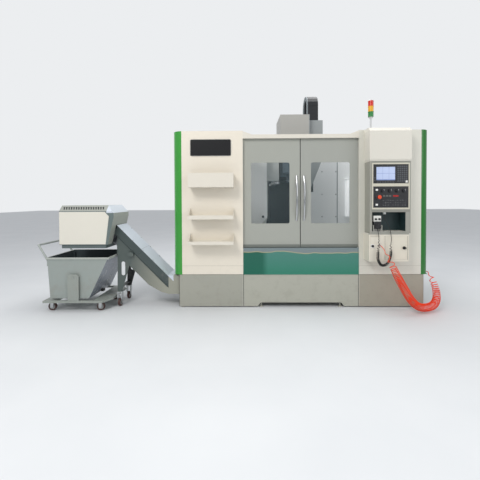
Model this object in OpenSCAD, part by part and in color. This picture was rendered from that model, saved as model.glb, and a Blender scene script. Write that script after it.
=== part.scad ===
// Vertical machining center with a cross-slide table, chip conveyor and chip cart.
// Millimetres. The origin lies on the floor; x = 0 is the middle of the enclosure,
// y = 0 is the spindle axis, +Y points to the back.

/* [Enclosure] */
// Half the width over the corner trims
half_w = 1630; // [1600:5:1660]
// Front face of the enclosure columns
front_y = -900; // [-930:5:-880]
// Rear edge of the side panels
side_rear_y = 700; // [690:5:710]
// Height of the enclosure
encl_h = 2250; // [2235:5:2290]
// Sheet thickness of the covers
sheet = 3; // [2:0.5:4]
// Width of a rounded corner trim
trim_w = 115; // [90:5:130]
// Height of the plinth
plinth_h = 420; // [412:2:424]
// Gap between the floor and the plinth
plinth_gap = 12; // [10:1:20]
// How far the plinth stands in from the trims
plinth_in = 70; // [50:5:90]
// Half the width of the plinth's middle section
plinth_mid = 730; // [700:5:760]
// Half the width of the notch under the plinth
notch_half = 550; // [450:10:600]
// Height of the notch under the plinth
notch_h = 48; // [30:2:70]

/* [Doorway] */
// Half the width of the doorway
door_half = 735; // [715:5:750]
// Top of the polished sill panel
sill_top = 760; // [740:5:780]
// Underside of the lintel
lintel_z = 2153; // [2140:1:2170]
// How far the doors stand behind the columns
door_back = 42; // [30:2:50]
// Thickness of a door
door_t = 36; // [30:1:40]
// Half the width of the closed gap between the doors
door_gap = 3; // [2:0.5:5]
// Travel of each door
door_travel = 640; // [500:10:650]
// Inner edge of a window, from the middle
win_in = 137; // [125:1:160]
// Outer edge of a window, from the middle
win_out = 630; // [600:5:650]
// Lower edge of the windows
win_lo = 1069; // [1040:1:1100]
// Upper edge of the windows
win_hi = 1850; // [1800:5:1900]
// Distance of a handle from the middle
handle_x = 48; // [40:1:60]
// Lower end of the handles
handle_lo = 1110; // [1080:5:1140]
// Upper end of the handles
handle_hi = 1676; // [1600:2:1720]

/* [Axes] */
// Spindle axis, from the middle of the enclosure
spindle_x = 35; // [25:1:45]
// X travel to each side
x_travel = 550; // [500:10:560]
// Y travel to each side
y_travel = 300; // [250:10:310]
// Z travel downwards
z_travel = 600; // [500:10:620]
// Length of the table
table_l = 1200; // [1100:10:1210]
// Depth of the table
table_d = 600; // [560:10:620]
// Top of the table
table_z = 930; // [925:1:940]
// Thickness of the table plate
table_t = 80; // [70:1:84]
// Width of a T-slot
slot_w = 18; // [14:1:22]
// Distance between T-slots
slot_pitch = 100; // [80:5:120]
// Number of T-slots
slot_n = 5; // [3:2:5]
// Width of a linear rail
rail_w = 45; // [35:1:55]
// Height of a linear rail
rail_h = 40; // [36:1:44]
// Radius of the ball screws
screw_r = 20; // [16:1:24]
// Face of the spindle nose at the top of its travel
nose_z = 1650; // [1640:1:1700]
// Column front face
column_y = 720; // [716:1:740]

/* [Control] */
// Left edge of the control hood
hood_l = 800; // [790:5:820]
// Right edge of the control hood
hood_r = 1306; // [1302:1:1320]
// How far the hood stands out of the column
hood_out = 170; // [150:5:200]
// Left edge of the control housing
ctl_l = 806; // [802:1:812]
// Right edge of the control housing
ctl_r = 1298; // [1294:1:1301]
// Bottom of the control housing
ctl_lo = 960; // [955:1:965]
// Top of the control housing
ctl_hi = 1853; // [1845:1:1860]
// Width of the screen unit and of the operator panel
unit_w = 424; // [410:2:430]
// Height of the screen unit
screen_h = 231; // [222:1:236]
// Height of the operator panel
oper_h = 257; // [248:1:262]

/* [Conveyor] */
// Inside width of the chip trough
trough_w = 350; // [300:5:360]
// Bottom of the chip trough
trough_z = 157; // [140:1:170]
// Depth of the chip trough
trough_h = 241; // [220:1:246]
// Where the trough bends upwards
bend_x = -1714; // [-1724:2:-1700]
// Length of the inclined stretch
incline_l = 930; // [900:10:940]
// Radius of a caster wheel
wheel_r = 50; // [45:1:52]

/* [Hidden] */
$fn = 48;
eps = 0.01;
run = 0.05;
seat = 0.3;

// Axis-aligned block from one corner to the opposite one
module block(lo, hi) {
  translate(lo) cube([hi[0] - lo[0], hi[1] - lo[1], hi[2] - lo[2]]);
}
// Cylinders along X and Y
module rod_x(x0, x1, r) {
  translate([x0, 0, 0]) rotate([0, 90, 0]) cylinder(r = r, h = x1 - x0);
}
module rod_y(y0, y1, r) {
  translate([0, y0, 0]) rotate([-90, 0, 0]) cylinder(r = r, h = y1 - y0);
}
// Outline given in X and Z, pushed from y0 to y1
module along_y(y0, y1) {
  translate([0, y1, 0]) rotate([90, 0, 0]) linear_extrude(height = y1 - y0) children();
}
// Outline given in Y and Z, pushed from x0 to x1
module along_x(x0, x1) {
  translate([x0, 0, 0]) rotate([90, 0, 90]) linear_extrude(height = x1 - x0) children();
}
// Rectangle with rounded corners, drawn with true arcs
module round_rect(x0, y0, x1, y1, r) {
  translate([x0 + r, y0]) square([x1 - x0 - 2 * r, y1 - y0]);
  translate([x0, y0 + r]) square([x1 - x0, y1 - y0 - 2 * r]);
  for (x = [x0 + r, x1 - r], y = [y0 + r, y1 - r]) translate([x, y]) circle(r = r);
}

// Machine frame
sx = spindle_x;
bed_top = 560;
bed_half = 450;
bed_front = -700;
bed_back = 1150;
bed_foot = 60;
y_rail_x = 330;
y_screw_z = 525;
channel = 120;
saddle_z = 620;
saddle_top = 745;
saddle_half = 1050;
saddle_d = 236;
x_rail_y = 180;
x_screw_z = 750;
cover_len = 397;
cover_step = sheet + seat;
cover_top = 824;
cover_low = 690;
cover_n = 3;
column_half = 330;
column_top = 2200;
z_rail_x = 230;
z_screw_y = column_y + 30;
head_half = 170;
head_top = 2180;
carriage_z = nose_z + 50;

module at_spindle() {
  translate([sx, 0, 0]) children();
}

// Bed: a box casting with a nose over the chip trough and a channel for the screw
module bed() {
  color("gainsboro") at_spindle() difference() {
    along_x(-bed_half, bed_half) polygon([
      [-440, bed_foot], [bed_back, bed_foot], [bed_back, bed_top],
      [bed_front, bed_top], [bed_front, 440], [-520, 440], [-440, 400]
    ]);
    block([-channel, bed_front + 91, bed_top - 90], [channel, 600, bed_top + 1]);
    for (x = [-1, 1], y = [-200, 250, 700])
      block([x * 300 - 90, y, bed_foot - 1], [x * 300 + 90, y + 330, bed_top - 180]);
    translate([0, 0, y_screw_z]) rod_y(bed_front - 1, 701, screw_r + run);
  }
}

// Feet: a pad, a threaded stud and a lock nut under each corner and the middle
foot_xy = concat([for (x = [-390, 390], y = [-380, 330, 1090]) [x, y]], [[0, 0]]);
module levelling_feet() {
  color("dimgray") at_spindle() for (p = foot_xy) translate([p[0], p[1], 0]) {
    cylinder(r1 = 60, r2 = 50, h = 22);
    cylinder(r = 15, h = bed_foot);
    translate([0, 0, 40]) cylinder(r = 26, h = bed_foot - 40, $fn = 6);
  }
}

// One linear rail lying along Y with its top upwards
module rail(l) {
  along_y(0, l) polygon([
    [-rail_w / 2, 0], [rail_w / 2, 0], [rail_w / 2, rail_h * 0.35], [rail_w * 0.4, rail_h * 0.5],
    [rail_w / 2, rail_h * 0.65], [rail_w / 2, rail_h], [-rail_w / 2, rail_h],
    [-rail_w / 2, rail_h * 0.65], [-rail_w * 0.4, rail_h * 0.5], [-rail_w / 2, rail_h * 0.35]
  ]);
}
// Room that a carriage leaves around its rail
module rail_room(l) {
  along_y(0, l) polygon([
    [-rail_w / 2 - seat, -1], [rail_w / 2 + seat, -1], [rail_w / 2 + seat, rail_h + seat],
    [-rail_w / 2 - seat, rail_h + seat]
  ]);
}
y_rail_from = -660;
y_rail_to = 660;
module base_rails() {
  color("silver") at_spindle() {
    for (x = [-y_rail_x, y_rail_x])
      translate([x, y_rail_from, bed_top]) rail(y_rail_to - y_rail_from);
    for (x = [-z_rail_x, z_rail_x])
      translate([x, column_y, 1120]) rotate([90, 0, 0]) rail(column_top - 1130);
  }
}

// Ball screws
module y_screw() {
  color("silver") at_spindle() translate([0, 0, y_screw_z]) rod_y(bed_front + seat, 700, screw_r);
}
module z_screw() {
  color("silver") at_spindle() translate([0, z_screw_y, 1130])
    cylinder(r = screw_r, h = column_top - 1130 - seat);
}
module x_screw() {
  color("silver") at_spindle() translate([0, 0, x_screw_z])
    rod_x(-saddle_half + 10, saddle_half - seat, screw_r);
}

// Servo motor: flange, finned body and encoder cap, along +Z from the flange
module servo(w, h) {
  block([-w / 2, -w / 2, 0], [w / 2, w / 2, 14]);
  difference() {
    block([-w * 0.44, -w * 0.44, 14], [w * 0.44, w * 0.44, h - 34]);
    for (i = [0:4], s = [-1, 1]) {
      translate([s * w * 0.44, (i * 0.14 - 0.3) * w, 24]) block([-3, 0, 0], [3, w * 0.05, h - 68]);
    }
  }
  translate([0, 0, h - 34]) cylinder(r = w * 0.38, h = 34);
  block([-w * 0.18, w * 0.44, h - 80], [w * 0.18, w * 0.6, h - 44]);
}
module axis_motors() {
  color("dimgray") at_spindle() {
    translate([0, bed_front, y_screw_z]) rotate([90, 0, 0]) servo(110, 165);
    translate([0, z_screw_y, column_top]) servo(140, 210);
  }
}

// Saddle with its rails, screw bearings, motor and the fixed end covers
module saddle() {
  color("gainsboro") at_spindle() {
    difference() {
      union() {
        along_y(-saddle_d, saddle_d) polygon([
          [-saddle_half, 685], [-480, saddle_z], [480, saddle_z], [saddle_half, 685],
          [saddle_half, saddle_top], [-saddle_half, saddle_top]
        ]);
        for (x = [-y_rail_x, y_rail_x], y = [-225, 135])
          block([x - 55, y, 575], [x + 55, y + 90, saddle_z + 1]);
        block([-55, -60, y_screw_z - 45], [55, 60, saddle_z + 1]);
        for (y = [-x_rail_y, x_rail_y])
          translate([-saddle_half + 5, y, saddle_top]) rotate([0, 0, -90]) rail(2 * saddle_half - 10);
      }
      block([-saddle_half + 60, -70, 700], [saddle_half - 60, 70, saddle_top + 1]);
      for (x = [-y_rail_x, y_rail_x]) translate([x, -300, bed_top]) rail_room(600);
      translate([0, 0, y_screw_z]) rod_y(-100, 100, screw_r + run);
      translate([0, 0, x_screw_z]) rod_x(-saddle_half - 1, saddle_half + 1, screw_r + run);
    }
    for (s = [-1, 1]) difference() {
      block([s * 1020 - 30, -50, saddle_top], [s * 1020 + 30, 50, 790]);
      translate([0, 0, x_screw_z]) rod_x(-saddle_half - 1, saddle_half + 1, screw_r + run);
    }
    translate([saddle_half, 0, x_screw_z]) rotate([0, 90, 0]) rotate([0, 0, 90]) servo(110, 150);
    for (s = [-1, 1]) way_cover(s, 0);
  }
}

// One inverted U of a telescopic cover; k counts from the saddle towards the table
module way_cover(side, k) {
  reach = saddle_half - 10 - k / cover_n * x_travel;
  half = saddle_d + k * cover_step;
  top = cover_top + k * cover_step;
  mirror([side < 0 ? 1 : 0, 0, 0]) {
    difference() {
      block([reach, -half - sheet, cover_low], [reach + cover_len, half + sheet, top + sheet]);
      block([reach - 1, -half, cover_low - 1], [reach + cover_len + 1, half, top]);
    }
  }
}
module mid_cover(side, k) {
  color("lightsteelblue") at_spindle() way_cover(side, k);
}
module way_cover_left_1() {
  mid_cover(-1, 1);
}
module way_cover_left_2() {
  mid_cover(-1, 2);
}
module way_cover_right_1() {
  mid_cover(1, 1);
}
module way_cover_right_2() {
  mid_cover(1, 2);
}

// T-slot table on four carriages, with its two end covers
t_wide = 32;
t_high = 14;
t_deep = 34;
module t_slot(l) {
  translate([-l / 2, -slot_w / 2, table_z - t_deep + t_high]) cube([l, slot_w, t_deep]);
  translate([-l / 2, -t_wide / 2, table_z - t_deep]) cube([l, t_wide, t_high]);
}
module table() {
  under = table_z - table_t;
  color("silver") at_spindle() {
    difference() {
      union() {
        block([-table_l / 2, -table_d / 2, under], [table_l / 2, table_d / 2, table_z]);
        block([-485, -226, 800], [485, 226, under]);
        for (x = [-450, 350], y = [-x_rail_y, x_rail_y])
          block([x, y - 50, 762], [x + 100, y + 50, 800]);
        block([-60, -50, x_screw_z - 38], [60, 50, 800]);
        for (s = [-1, 1])
          block([s * 545 - 50, -250, cover_top + cover_n * cover_step], [s * 545 + 50, 250, under]);
      }
      for (i = [0:slot_n - 1]) translate([0, (i - (slot_n - 1) / 2) * slot_pitch, 0]) t_slot(table_l + 2);
      for (y = [-x_rail_y, x_rail_y])
        translate([-600, y, saddle_top]) rotate([0, 0, -90]) rail_room(1200);
      translate([0, 0, x_screw_z]) rod_x(-61, 61, screw_r + run);
      for (s = [-1, 1]) translate([0, s * (table_d / 2 - 24), 0])
        block([-table_l / 2 - 1, -8, table_z - 12], [table_l / 2 + 1, 8, table_z + 1]);
    }
    for (s = [-1, 1]) way_cover(s, cover_n);
  }
}

// Column with flared foot, screw recess, bearings and the fixed part of the Z cover
module z_sheet(k, lo, hi) {
  half = 312 + k * cover_step;
  front = column_y - 84 - k * cover_step;
  back = k == 0 ? column_y : column_y - 4;
  difference() {
    block([-half, front, lo], [half, back, hi]);
    block([-half + sheet, front + sheet, lo - 1], [half - sheet, back + 1, hi + 1]);
  }
}
z_len = 340;
z_low = 740;
module column() {
  color("gainsboro") at_spindle() {
    difference() {
      along_y(column_y, bed_back) polygon([
        [-bed_half, bed_top], [bed_half, bed_top], [column_half, 1100], [column_half, column_top],
        [-column_half, column_top], [-column_half, 1100]
      ]);
      block([-80, column_y - 1, 1190], [80, column_y + 110, 2120]);
      translate([0, z_screw_y, 1130 - seat]) cylinder(r = screw_r + run, h = column_top);
      block([-220, column_y + 170, bed_top + 60], [220, bed_back - 60, column_top - 80]);
      for (z = [900, 1350, 1800]) translate([0, 0, z]) rod_y(bed_back - 70, bed_back + 1, 110);
    }
    z_sheet(0, z_low, z_low + z_len);
    block([column_half, guide_y, 2050], [column_half + 6, 900, 2190]);
    block([chain_l - sx, guide_y, 1500], [chain_l + chain_w - sx, guide_y + sheet, 2190]);
  }
}
module z_cover_mid() {
  color("dimgray") at_spindle() z_sheet(1, z_low + z_len - 40, z_low + 2 * z_len - 40);
}

// Spindle head: casting with nose, carriage plate, nut and the upper part of the Z cover
spindle_r = 60;
module spindle_head() {
  color("darkgray") at_spindle() {
    difference() {
      union() {
        along_x(-head_half, head_half) polygon([
          [-150, nose_z + 130], [-150, head_top], [600, head_top], [600, carriage_z],
          [330, carriage_z], [150, nose_z + 110]
        ]);
        translate([0, 0, nose_z + 30]) cylinder(r1 = 92, r2 = 120, h = 110);
        block([-290, 600, carriage_z], [290, column_y - rail_h - 5, head_top]);
        for (x = [-z_rail_x, z_rail_x], z = [carriage_z + 20, head_top - 100])
          block([x - 52, column_y - rail_h - 5, z], [x + 52, column_y - 14, z + 80]);
        block([-50, 600, 1880], [50, column_y + 80, 2000]);
      }
      cylinder(r = spindle_r + run, h = 2 * head_top);
      for (x = [-z_rail_x, z_rail_x])
        translate([x, column_y, 1000]) rotate([90, 0, 0]) rail_room(1400);
      translate([0, z_screw_y, 1800]) cylinder(r = screw_r + run, h = 300);
    }
    z_sheet(2, z_low + 2 * z_len - 80, carriage_z);
    translate([0, 0, head_top]) servo(200, 380);
    for (a = [40, 140, 220, 320]) rotate([0, 0, a]) translate([104, 0, nose_z + 20]) {
      cylinder(r = 9, h = 40);
      translate([0, 0, -29]) rotate([0, -14, 0]) cylinder(r1 = 5, r2 = 8, h = 37);
    }
  }
}

// Spindle: shaft with a steep taper, a draw-bar bore and two drive keys
module spindle() {
  color("silver") at_spindle() {
    difference() {
      translate([0, 0, nose_z]) cylinder(r = spindle_r, h = head_top - nose_z - seat);
      translate([0, 0, nose_z - eps]) cylinder(r1 = 22.2, r2 = 12.7, h = 65.4);
      translate([0, 0, nose_z]) cylinder(r = 12.7, h = 300);
    }
    for (s = [-1, 1]) block([s * 38 - 10, -8, nose_z - 8], [s * 38 + 10, 8, nose_z]);
  }
}

// Sheet boxes over the motor and beside the head
cover_x = 215;
cover_front = -230;
cover_back = 330;
cover_z = 2150;
cover_hi = 2631;
side_out = 440;
side_y0 = -100;
side_y1 = 200;
side_hi = 2576;
side_lo = 1560;
module side_outline(t) {
  polygon([
    [cover_x + t, side_hi - t], [side_out - t, side_hi - t], [side_out - t, side_lo + 440 + t / 2],
    [cover_x + 50 - t, side_lo + t], [cover_x + t, side_lo + t]
  ]);
}
module head_cover() {
  color("silver") at_spindle() {
    difference() {
      block([-cover_x, cover_front, cover_z], [cover_x, cover_back, cover_hi]);
      block([-cover_x + sheet, cover_front + sheet, cover_z + sheet],
        [cover_x - sheet, cover_back - sheet, cover_hi - sheet]);
      block([-head_half - seat, -150 - seat, cover_z - 1], [head_half + seat, cover_back - 20, cover_z + 10]);
      block([-head_half - seat, -150, cover_z - 1], [head_half + seat, cover_back + 1, head_top + seat]);
    }
    difference() {
      along_y(side_y0, side_y1) side_outline(0);
      along_y(side_y0 + sheet, side_y1 - sheet) side_outline(sheet);
    }
  }
}

// Cable chain: links along an arch between the side box and the guide on the column
chain_l = 254;
chain_w = 170;
chain_t = 60;
chain_r = 145;
chain_pitch = 50;
chain_gap = 0.5;
chain_cy = 155;
front_n = 5;
chain_cz = side_hi + front_n * chain_pitch;
arch_n = 9;
guide_y = chain_cy + chain_r + chain_t / 2 + seat;
rear_n = 14;
module link(len_in, len_out) {
  difference() {
    along_x(0, chain_w) polygon([
      [-chain_t / 2, -len_out / 2], [chain_t / 2, -len_in / 2], [chain_t / 2, len_in / 2], [-chain_t / 2, len_out / 2]
    ]);
    block([10, -chain_t / 2 + 7, -chain_pitch], [chain_w - 10, chain_t / 2 - 7, chain_pitch]);
    for (x = [-1, chain_w - 3]) block([x, -chain_t / 4, -chain_pitch / 4], [x + 4, chain_t / 4, chain_pitch / 4]);
  }
}
module cable_chain() {
  step = 180 / arch_n;
  flat = chain_pitch - chain_gap;
  inner = 2 * (chain_r - chain_t / 2) * tan(step / 2) - chain_gap;
  outer = 2 * (chain_r + chain_t / 2) * tan(step / 2) - chain_gap;
  color([0.1, 0.1, 0.11]) translate([chain_l, chain_cy, 0]) {
    for (i = [0:front_n - 1]) translate([0, -chain_r, chain_cz - (i + 0.5) * chain_pitch]) link(flat, flat);
    for (i = [0:arch_n - 1]) translate([0, 0, chain_cz]) rotate([-(i + 0.5) * step, 0, 0])
      translate([0, -chain_r, 0]) link(inner, outer);
    for (i = [0:rear_n - 1]) translate([0, chain_r, chain_cz - (i + 0.5) * chain_pitch]) link(flat, flat);
  }
}

// Tool magazine: carrier beam with changer gearbox and sheet cover
mag_x = -500;
mag_z = 1900;
mag_r = 235;
mag_front = -320;
mag_back = 330;
mag_lo = 1560;
mag_hi = 2235;
pot_n = 24;
beam_l = -470;
beam_r = -375;
arm_x = -290;
arm_z = nose_z - 48;
module magazine_frame() {
  color("gainsboro") {
    difference() {
      union() {
        block([beam_l, -130, mag_z - 110], [beam_r, 1040, mag_z + 110]);
        block([beam_r, 760, mag_z - 110], [sx - column_half, 1040, mag_z + 110]);
        block([beam_r, -110, arm_z + 60], [sx - 225, 110, mag_z + 180]);
      }
      translate([0, 0, mag_z]) rod_x(beam_l - 1, beam_r - 40, 30 + run);
      translate([sx + arm_x, 0, arm_z]) cylinder(r = 40 + run, h = 250);
      for (y = [250, 500]) translate([0, y, mag_z]) rod_x(beam_l - 1, beam_r + 1, 70);
    }
  }
  color([0.86, 0.88, 0.87]) difference() {
    block([mag_x - 260, mag_front, mag_lo], [beam_l, mag_back, mag_hi]);
    block([mag_x - 260 + sheet, mag_front + sheet, mag_lo - 1], [beam_l + 1, mag_back - sheet, mag_hi - sheet]);
  }
}
module magazine_disc() {
  color("dimgray") translate([0, 0, mag_z]) {
    difference() {
      rod_x(mag_x - 20, mag_x, mag_r + 28);
      for (a = [0:60:300]) rotate([a, 0, 0]) translate([0, 120, 0]) rod_x(mag_x - 21, mag_x + 1, 42);
    }
    rod_x(mag_x, beam_r - 42, 30);
    for (i = [0:pot_n - 1]) rotate([i * 360 / pot_n, 0, 0]) translate([0, 0, -mag_r]) difference() {
      rod_x(mag_x - 110, mag_x - 20, 27);
      rod_x(mag_x - 111, mag_x - 60, 18);
    }
  }
}
// Change arm: two hooked grippers on one hub, parked along Y
arm_len = 290;
module change_arm() {
  color("darkgray") translate([sx + arm_x, 0, arm_z]) {
    cylinder(r = 40, h = 200);
    difference() {
      union() {
        block([-38, -arm_len, 0], [38, arm_len, 34]);
        for (s = [-1, 1]) translate([0, s * arm_len, 0]) cylinder(r = 52, h = 34);
      }
      for (s = [-1, 1]) translate([0, s * arm_len, -1]) {
        cylinder(r = 31.5, h = 40);
        translate([s * 30, 0, 18]) cube([60, 50, 44], center = true);
      }
    }
  }
}

// Plinth: a skirt of folded sheet with a notch below its middle section
plinth_x = half_w - plinth_in;
plinth_y = front_y + 6;
col_z = plinth_h + 4;
module plinth() {
  color([0.66, 0.66, 0.62]) {
    difference() {
      block([-plinth_x, plinth_y, plinth_gap], [plinth_x, side_rear_y, plinth_h]);
      block([-plinth_x + sheet, plinth_y + sheet, plinth_gap - 1], [plinth_x - sheet, side_rear_y - sheet, plinth_h - sheet]);
      block([-plinth_x + 70, plinth_y + 55, plinth_gap], [plinth_x - 70, side_rear_y + 1, plinth_h + 1]);
      along_y(plinth_y - 1, plinth_y + 60) polygon([
        [-notch_half, plinth_gap - 1], [notch_half, plinth_gap - 1],
        [notch_half - 35, plinth_gap + notch_h], [-notch_half + 35, plinth_gap + notch_h]
      ]);
      for (x = [-plinth_mid, plinth_mid])
        block([x - 1.5, plinth_y - 1, plinth_gap - 1], [x + 1.5, plinth_y + sheet / 2, plinth_h + 1]);
      block([-plinth_x - 1, trough_y0 - 20, plinth_gap - 1], [-plinth_x + 80, trough_y0 + trough_w + 20, tt + seat]);
      for (s = [-1, 1]) translate([s * plinth_x, plinth_y, 0]) rotate([0, 0, 45])
        block([-9, -9, 0], [9, 9, encl_h]);
    }
    for (x = foot_x) translate([x, plinth_y + 30, 0]) {
      lift = abs(x) < notch_half ? plinth_gap + notch_h : plinth_gap;
      cylinder(r = 24, h = 10);
      cylinder(r = 8, h = lift + 40);
      translate([0, 0, lift]) block([-27, sheet - 30, 0], [27, 25, 5]);
    }
  }
}
foot_x = [-1515, -505, 505, 1515];

// Outline of a folded column cover in X and Y, open to the back
fold = 90;
door_y = front_y + door_back;
module column_plan(outer, inner) {
  difference() {
    translate([outer, front_y]) square([inner - outer, fold]);
    translate([outer + sheet, front_y + sheet]) square([inner - outer, fold]);
  }
  translate([inner - sheet, front_y]) square([sheet, door_back - 4]);
}
col_out = half_w - trim_w;
module column_shell() {
  translate([0, 0, col_z]) linear_extrude(height = encl_h - col_z) column_plan(-col_out, -door_half);
  block([-col_out, front_y, encl_h - sheet], [-door_half, front_y + fold + 260, encl_h]);
  along_x(-col_out, -col_out + sheet) polygon([
    [front_y + fold, encl_h - 140], [front_y + fold, encl_h], [front_y + fold + 260, encl_h]
  ]);
  block([-col_out, front_y, col_z], [-door_half, front_y + door_back - 4, col_z + sheet]);
}
ridge_h = 42;
module left_column() {
  color([0.9, 0.87, 0.82]) {
    difference() {
      column_shell();
      block([-col_out - 1, front_y - 1, col_z + 108], [-door_half + 1, front_y + 1, col_z + 110]);
    }
    along_y(front_y + fold + 130, front_y + fold + 260) polygon([
      [-col_out, encl_h - 1], [-door_half - 420, encl_h - 1], [-door_half - 580, encl_h + ridge_h], [-col_out, encl_h + 6]
    ]);
  }
}
module right_column() {
  color([0.9, 0.87, 0.82]) difference() {
    mirror([1, 0, 0]) column_shell();
    block([ctl_l + 30, front_y - 1, ctl_lo + 40], [ctl_r - 30, front_y + sheet + 1, ctl_hi - 40]);
  }
}
// Quarter-round trims on the two front corners
module trim() {
  r = trim_w;
  translate([col_out, front_y + r, plinth_h]) difference() {
    linear_extrude(height = encl_h - plinth_h) union() {
      intersection() {
        difference() {
          circle(r = r, $fn = 64);
          circle(r = r - sheet, $fn = 64);
        }
        translate([0, -r - 1]) square([r + 1, r + 1]);
      }
      translate([r - sheet, 0]) square([sheet, 40]);
      translate([0, -r]) square([sheet, 30]);
    }
  }
  block([col_out + sheet, front_y + 20, plinth_h], [half_w - 20, front_y + r, plinth_h + sheet]);
}
module corner_trims() {
  color([0.2, 0.56, 0.17]) {
    trim();
    mirror([1, 0, 0]) trim();
  }
}
// Lintel with the upper door track behind it
lintel_top = encl_h - 48;
gusset_w = 120;
module door_lintel() {
  back = front_y + fold + 60;
  lip = front_y + door_back - 6;
  track_y = door_y + door_t + 12;
  color([0.9, 0.87, 0.82]) {
    along_x(-door_half, door_half) polygon([
      [front_y, lintel_z], [front_y, lintel_top], [back, lintel_top], [back, lintel_z - 20],
      [back - sheet, lintel_z - 20], [back - sheet, lintel_top - sheet],
      [front_y + sheet, lintel_top - sheet], [front_y + sheet, lintel_z + sheet],
      [lip, lintel_z + sheet], [lip, lintel_z]
    ]);
    for (s = [-1, 1]) along_y(front_y, front_y + fold) polygon([
      [s * door_half, lintel_top - 1], [s * door_half, encl_h - 4], [s * (door_half - gusset_w), lintel_top - 1]
    ]);
  }
  color("silver") block([-door_half, track_y, lintel_z + 20], [door_half, track_y + 4, lintel_top - 1]);
}
// Polished sill with its return and the lower door track
module sill_panel() {
  color([0.75, 0.78, 0.78]) {
    difference() {
      block([-door_half + 1, front_y, col_z], [door_half - 1, front_y + fold + 60, sill_top]);
      block([-door_half, front_y + sheet, col_z - 1], [door_half, front_y + fold + 61, sill_top - sheet]);
    }
    block([-door_half + 1, front_y, col_z - 4], [door_half - 1, front_y + 30, col_z + eps]);
    block([-door_half + 1, door_y + door_t / 2 - 3, sill_top - eps], [door_half - 1, door_y + door_t / 2 + 3, sill_top + 9]);
  }
}

// Sliding doors
door_out = door_half + 40;
door_lo = sill_top + 3;
door_hi = lintel_z + 24;
glass_t = 8;
glass_edge = 16;
module door_body() {
  difference() {
    block([-door_out, door_y, door_lo], [-door_gap, door_y + door_t, door_hi]);
    along_y(door_y - 1, door_y + door_t + 1) round_rect(-win_out, win_lo, -win_in, win_hi, 22);
    block([-win_out - glass_edge - seat, door_y + sheet, win_lo - glass_edge - seat],
      [-win_in + glass_edge + seat, door_y + sheet + glass_t + 2 * seat, win_hi + glass_edge + seat]);
    block([-win_out - glass_edge - seat, door_y + sheet, win_lo - glass_edge - seat],
      [-win_in + glass_edge + seat, door_y + door_t + 1, win_hi + glass_edge + seat]);
    block([-door_out + 30, door_y + sheet, win_hi + 60], [-door_gap - 30, door_y + door_t + 1, door_hi - 40]);
    block([-door_out + 30, door_y + sheet, door_lo + 40], [-door_gap - 30, door_y + door_t + 1, win_lo - 60]);
    block([-door_out - 1, door_y + door_t / 2 - 3 - seat, door_lo - 1], [1, door_y + door_t / 2 + 3 + seat, door_lo + 14]);
  }
  for (z = [win_lo - 40, win_hi + 24]) for (x = [-win_out + 30, -win_in - 60])
    block([x, door_y + sheet + glass_t + 2 * seat, z], [x + 30, door_y + door_t - 4, z + 16]);
}
module pane() {
  block([-win_out - glass_edge, door_y + sheet + seat, win_lo - glass_edge],
    [-win_in + glass_edge, door_y + sheet + seat + glass_t, win_hi + glass_edge]);
}
// Handle: a round bar bent to a shallow arc
bar_r = 12;
bow = 46;
module handle() {
  half = (handle_hi - handle_lo) / 2;
  arc_r = (half * half + bow * bow) / (2 * bow);
  turn = 2 * asin(half / arc_r);
  translate([-handle_x, door_y, (handle_lo + handle_hi) / 2]) {
    difference() {
      translate([0, arc_r - bow, 0]) rotate([0, 90, 0])
        rotate([0, 0, 270 - turn / 2]) rotate_extrude(angle = turn) translate([arc_r, 0]) circle(r = bar_r);
      block([-40, 0, -half - 60], [40, 200, half + 60]);
    }
    for (z = [-half + 10, half - 10]) translate([0, 0, z]) rod_y(-5, 0, 17);
  }
}
module left_door() {
  color([0.6, 0.61, 0.58]) door_body();
  color("silver") handle();
}
module right_door() {
  mirror([1, 0, 0]) left_door();
}
module left_window() {
  color([0.7, 0.8, 0.82, 0.4]) pane();
}
module right_window() {
  mirror([1, 0, 0]) left_window();
}

// Side sheets, rear sheets, inner walls and the sloping chip pans
inner_x = 1496;
trough_y0 = front_y + 50;
module side_sheet() {
  block([half_w - sheet, front_y + trim_w + 40, col_z - 4], [half_w, side_rear_y, encl_h]);
  block([inner_x, front_y + fold + 10, col_z], [inner_x + sheet, side_rear_y, encl_h - sheet]);
  difference() {
    block([inner_x, front_y + trim_w + 40, encl_h - sheet], [half_w, side_rear_y, encl_h]);
    block([inner_x - 1, front_y, encl_h - sheet - 1], [col_out + seat, front_y + fold + 260 + seat, encl_h + 1]);
  }
  block([inner_x, front_y + trim_w + 40, col_z - 4], [half_w, side_rear_y, col_z]);
}
module chip_pan(x0, x1) {
  along_x(x0, x1) polygon([
    [side_rear_y - sheet, 640], [trough_y0 + trough_w + 10, 432], [trough_y0 + trough_w + 10, 435], [side_rear_y - sheet, 643]
  ]);
}
rear_l = beam_l - 6;
rear_r = sx + column_half + 9;
seam_x = 924;
guard_y = mag_front - sheet - seat;
guard_r = -390;
guard_lo = 1000;
lamp_x = 1095;
lamp_z = 1080;
lamp_h = 640;
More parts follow.
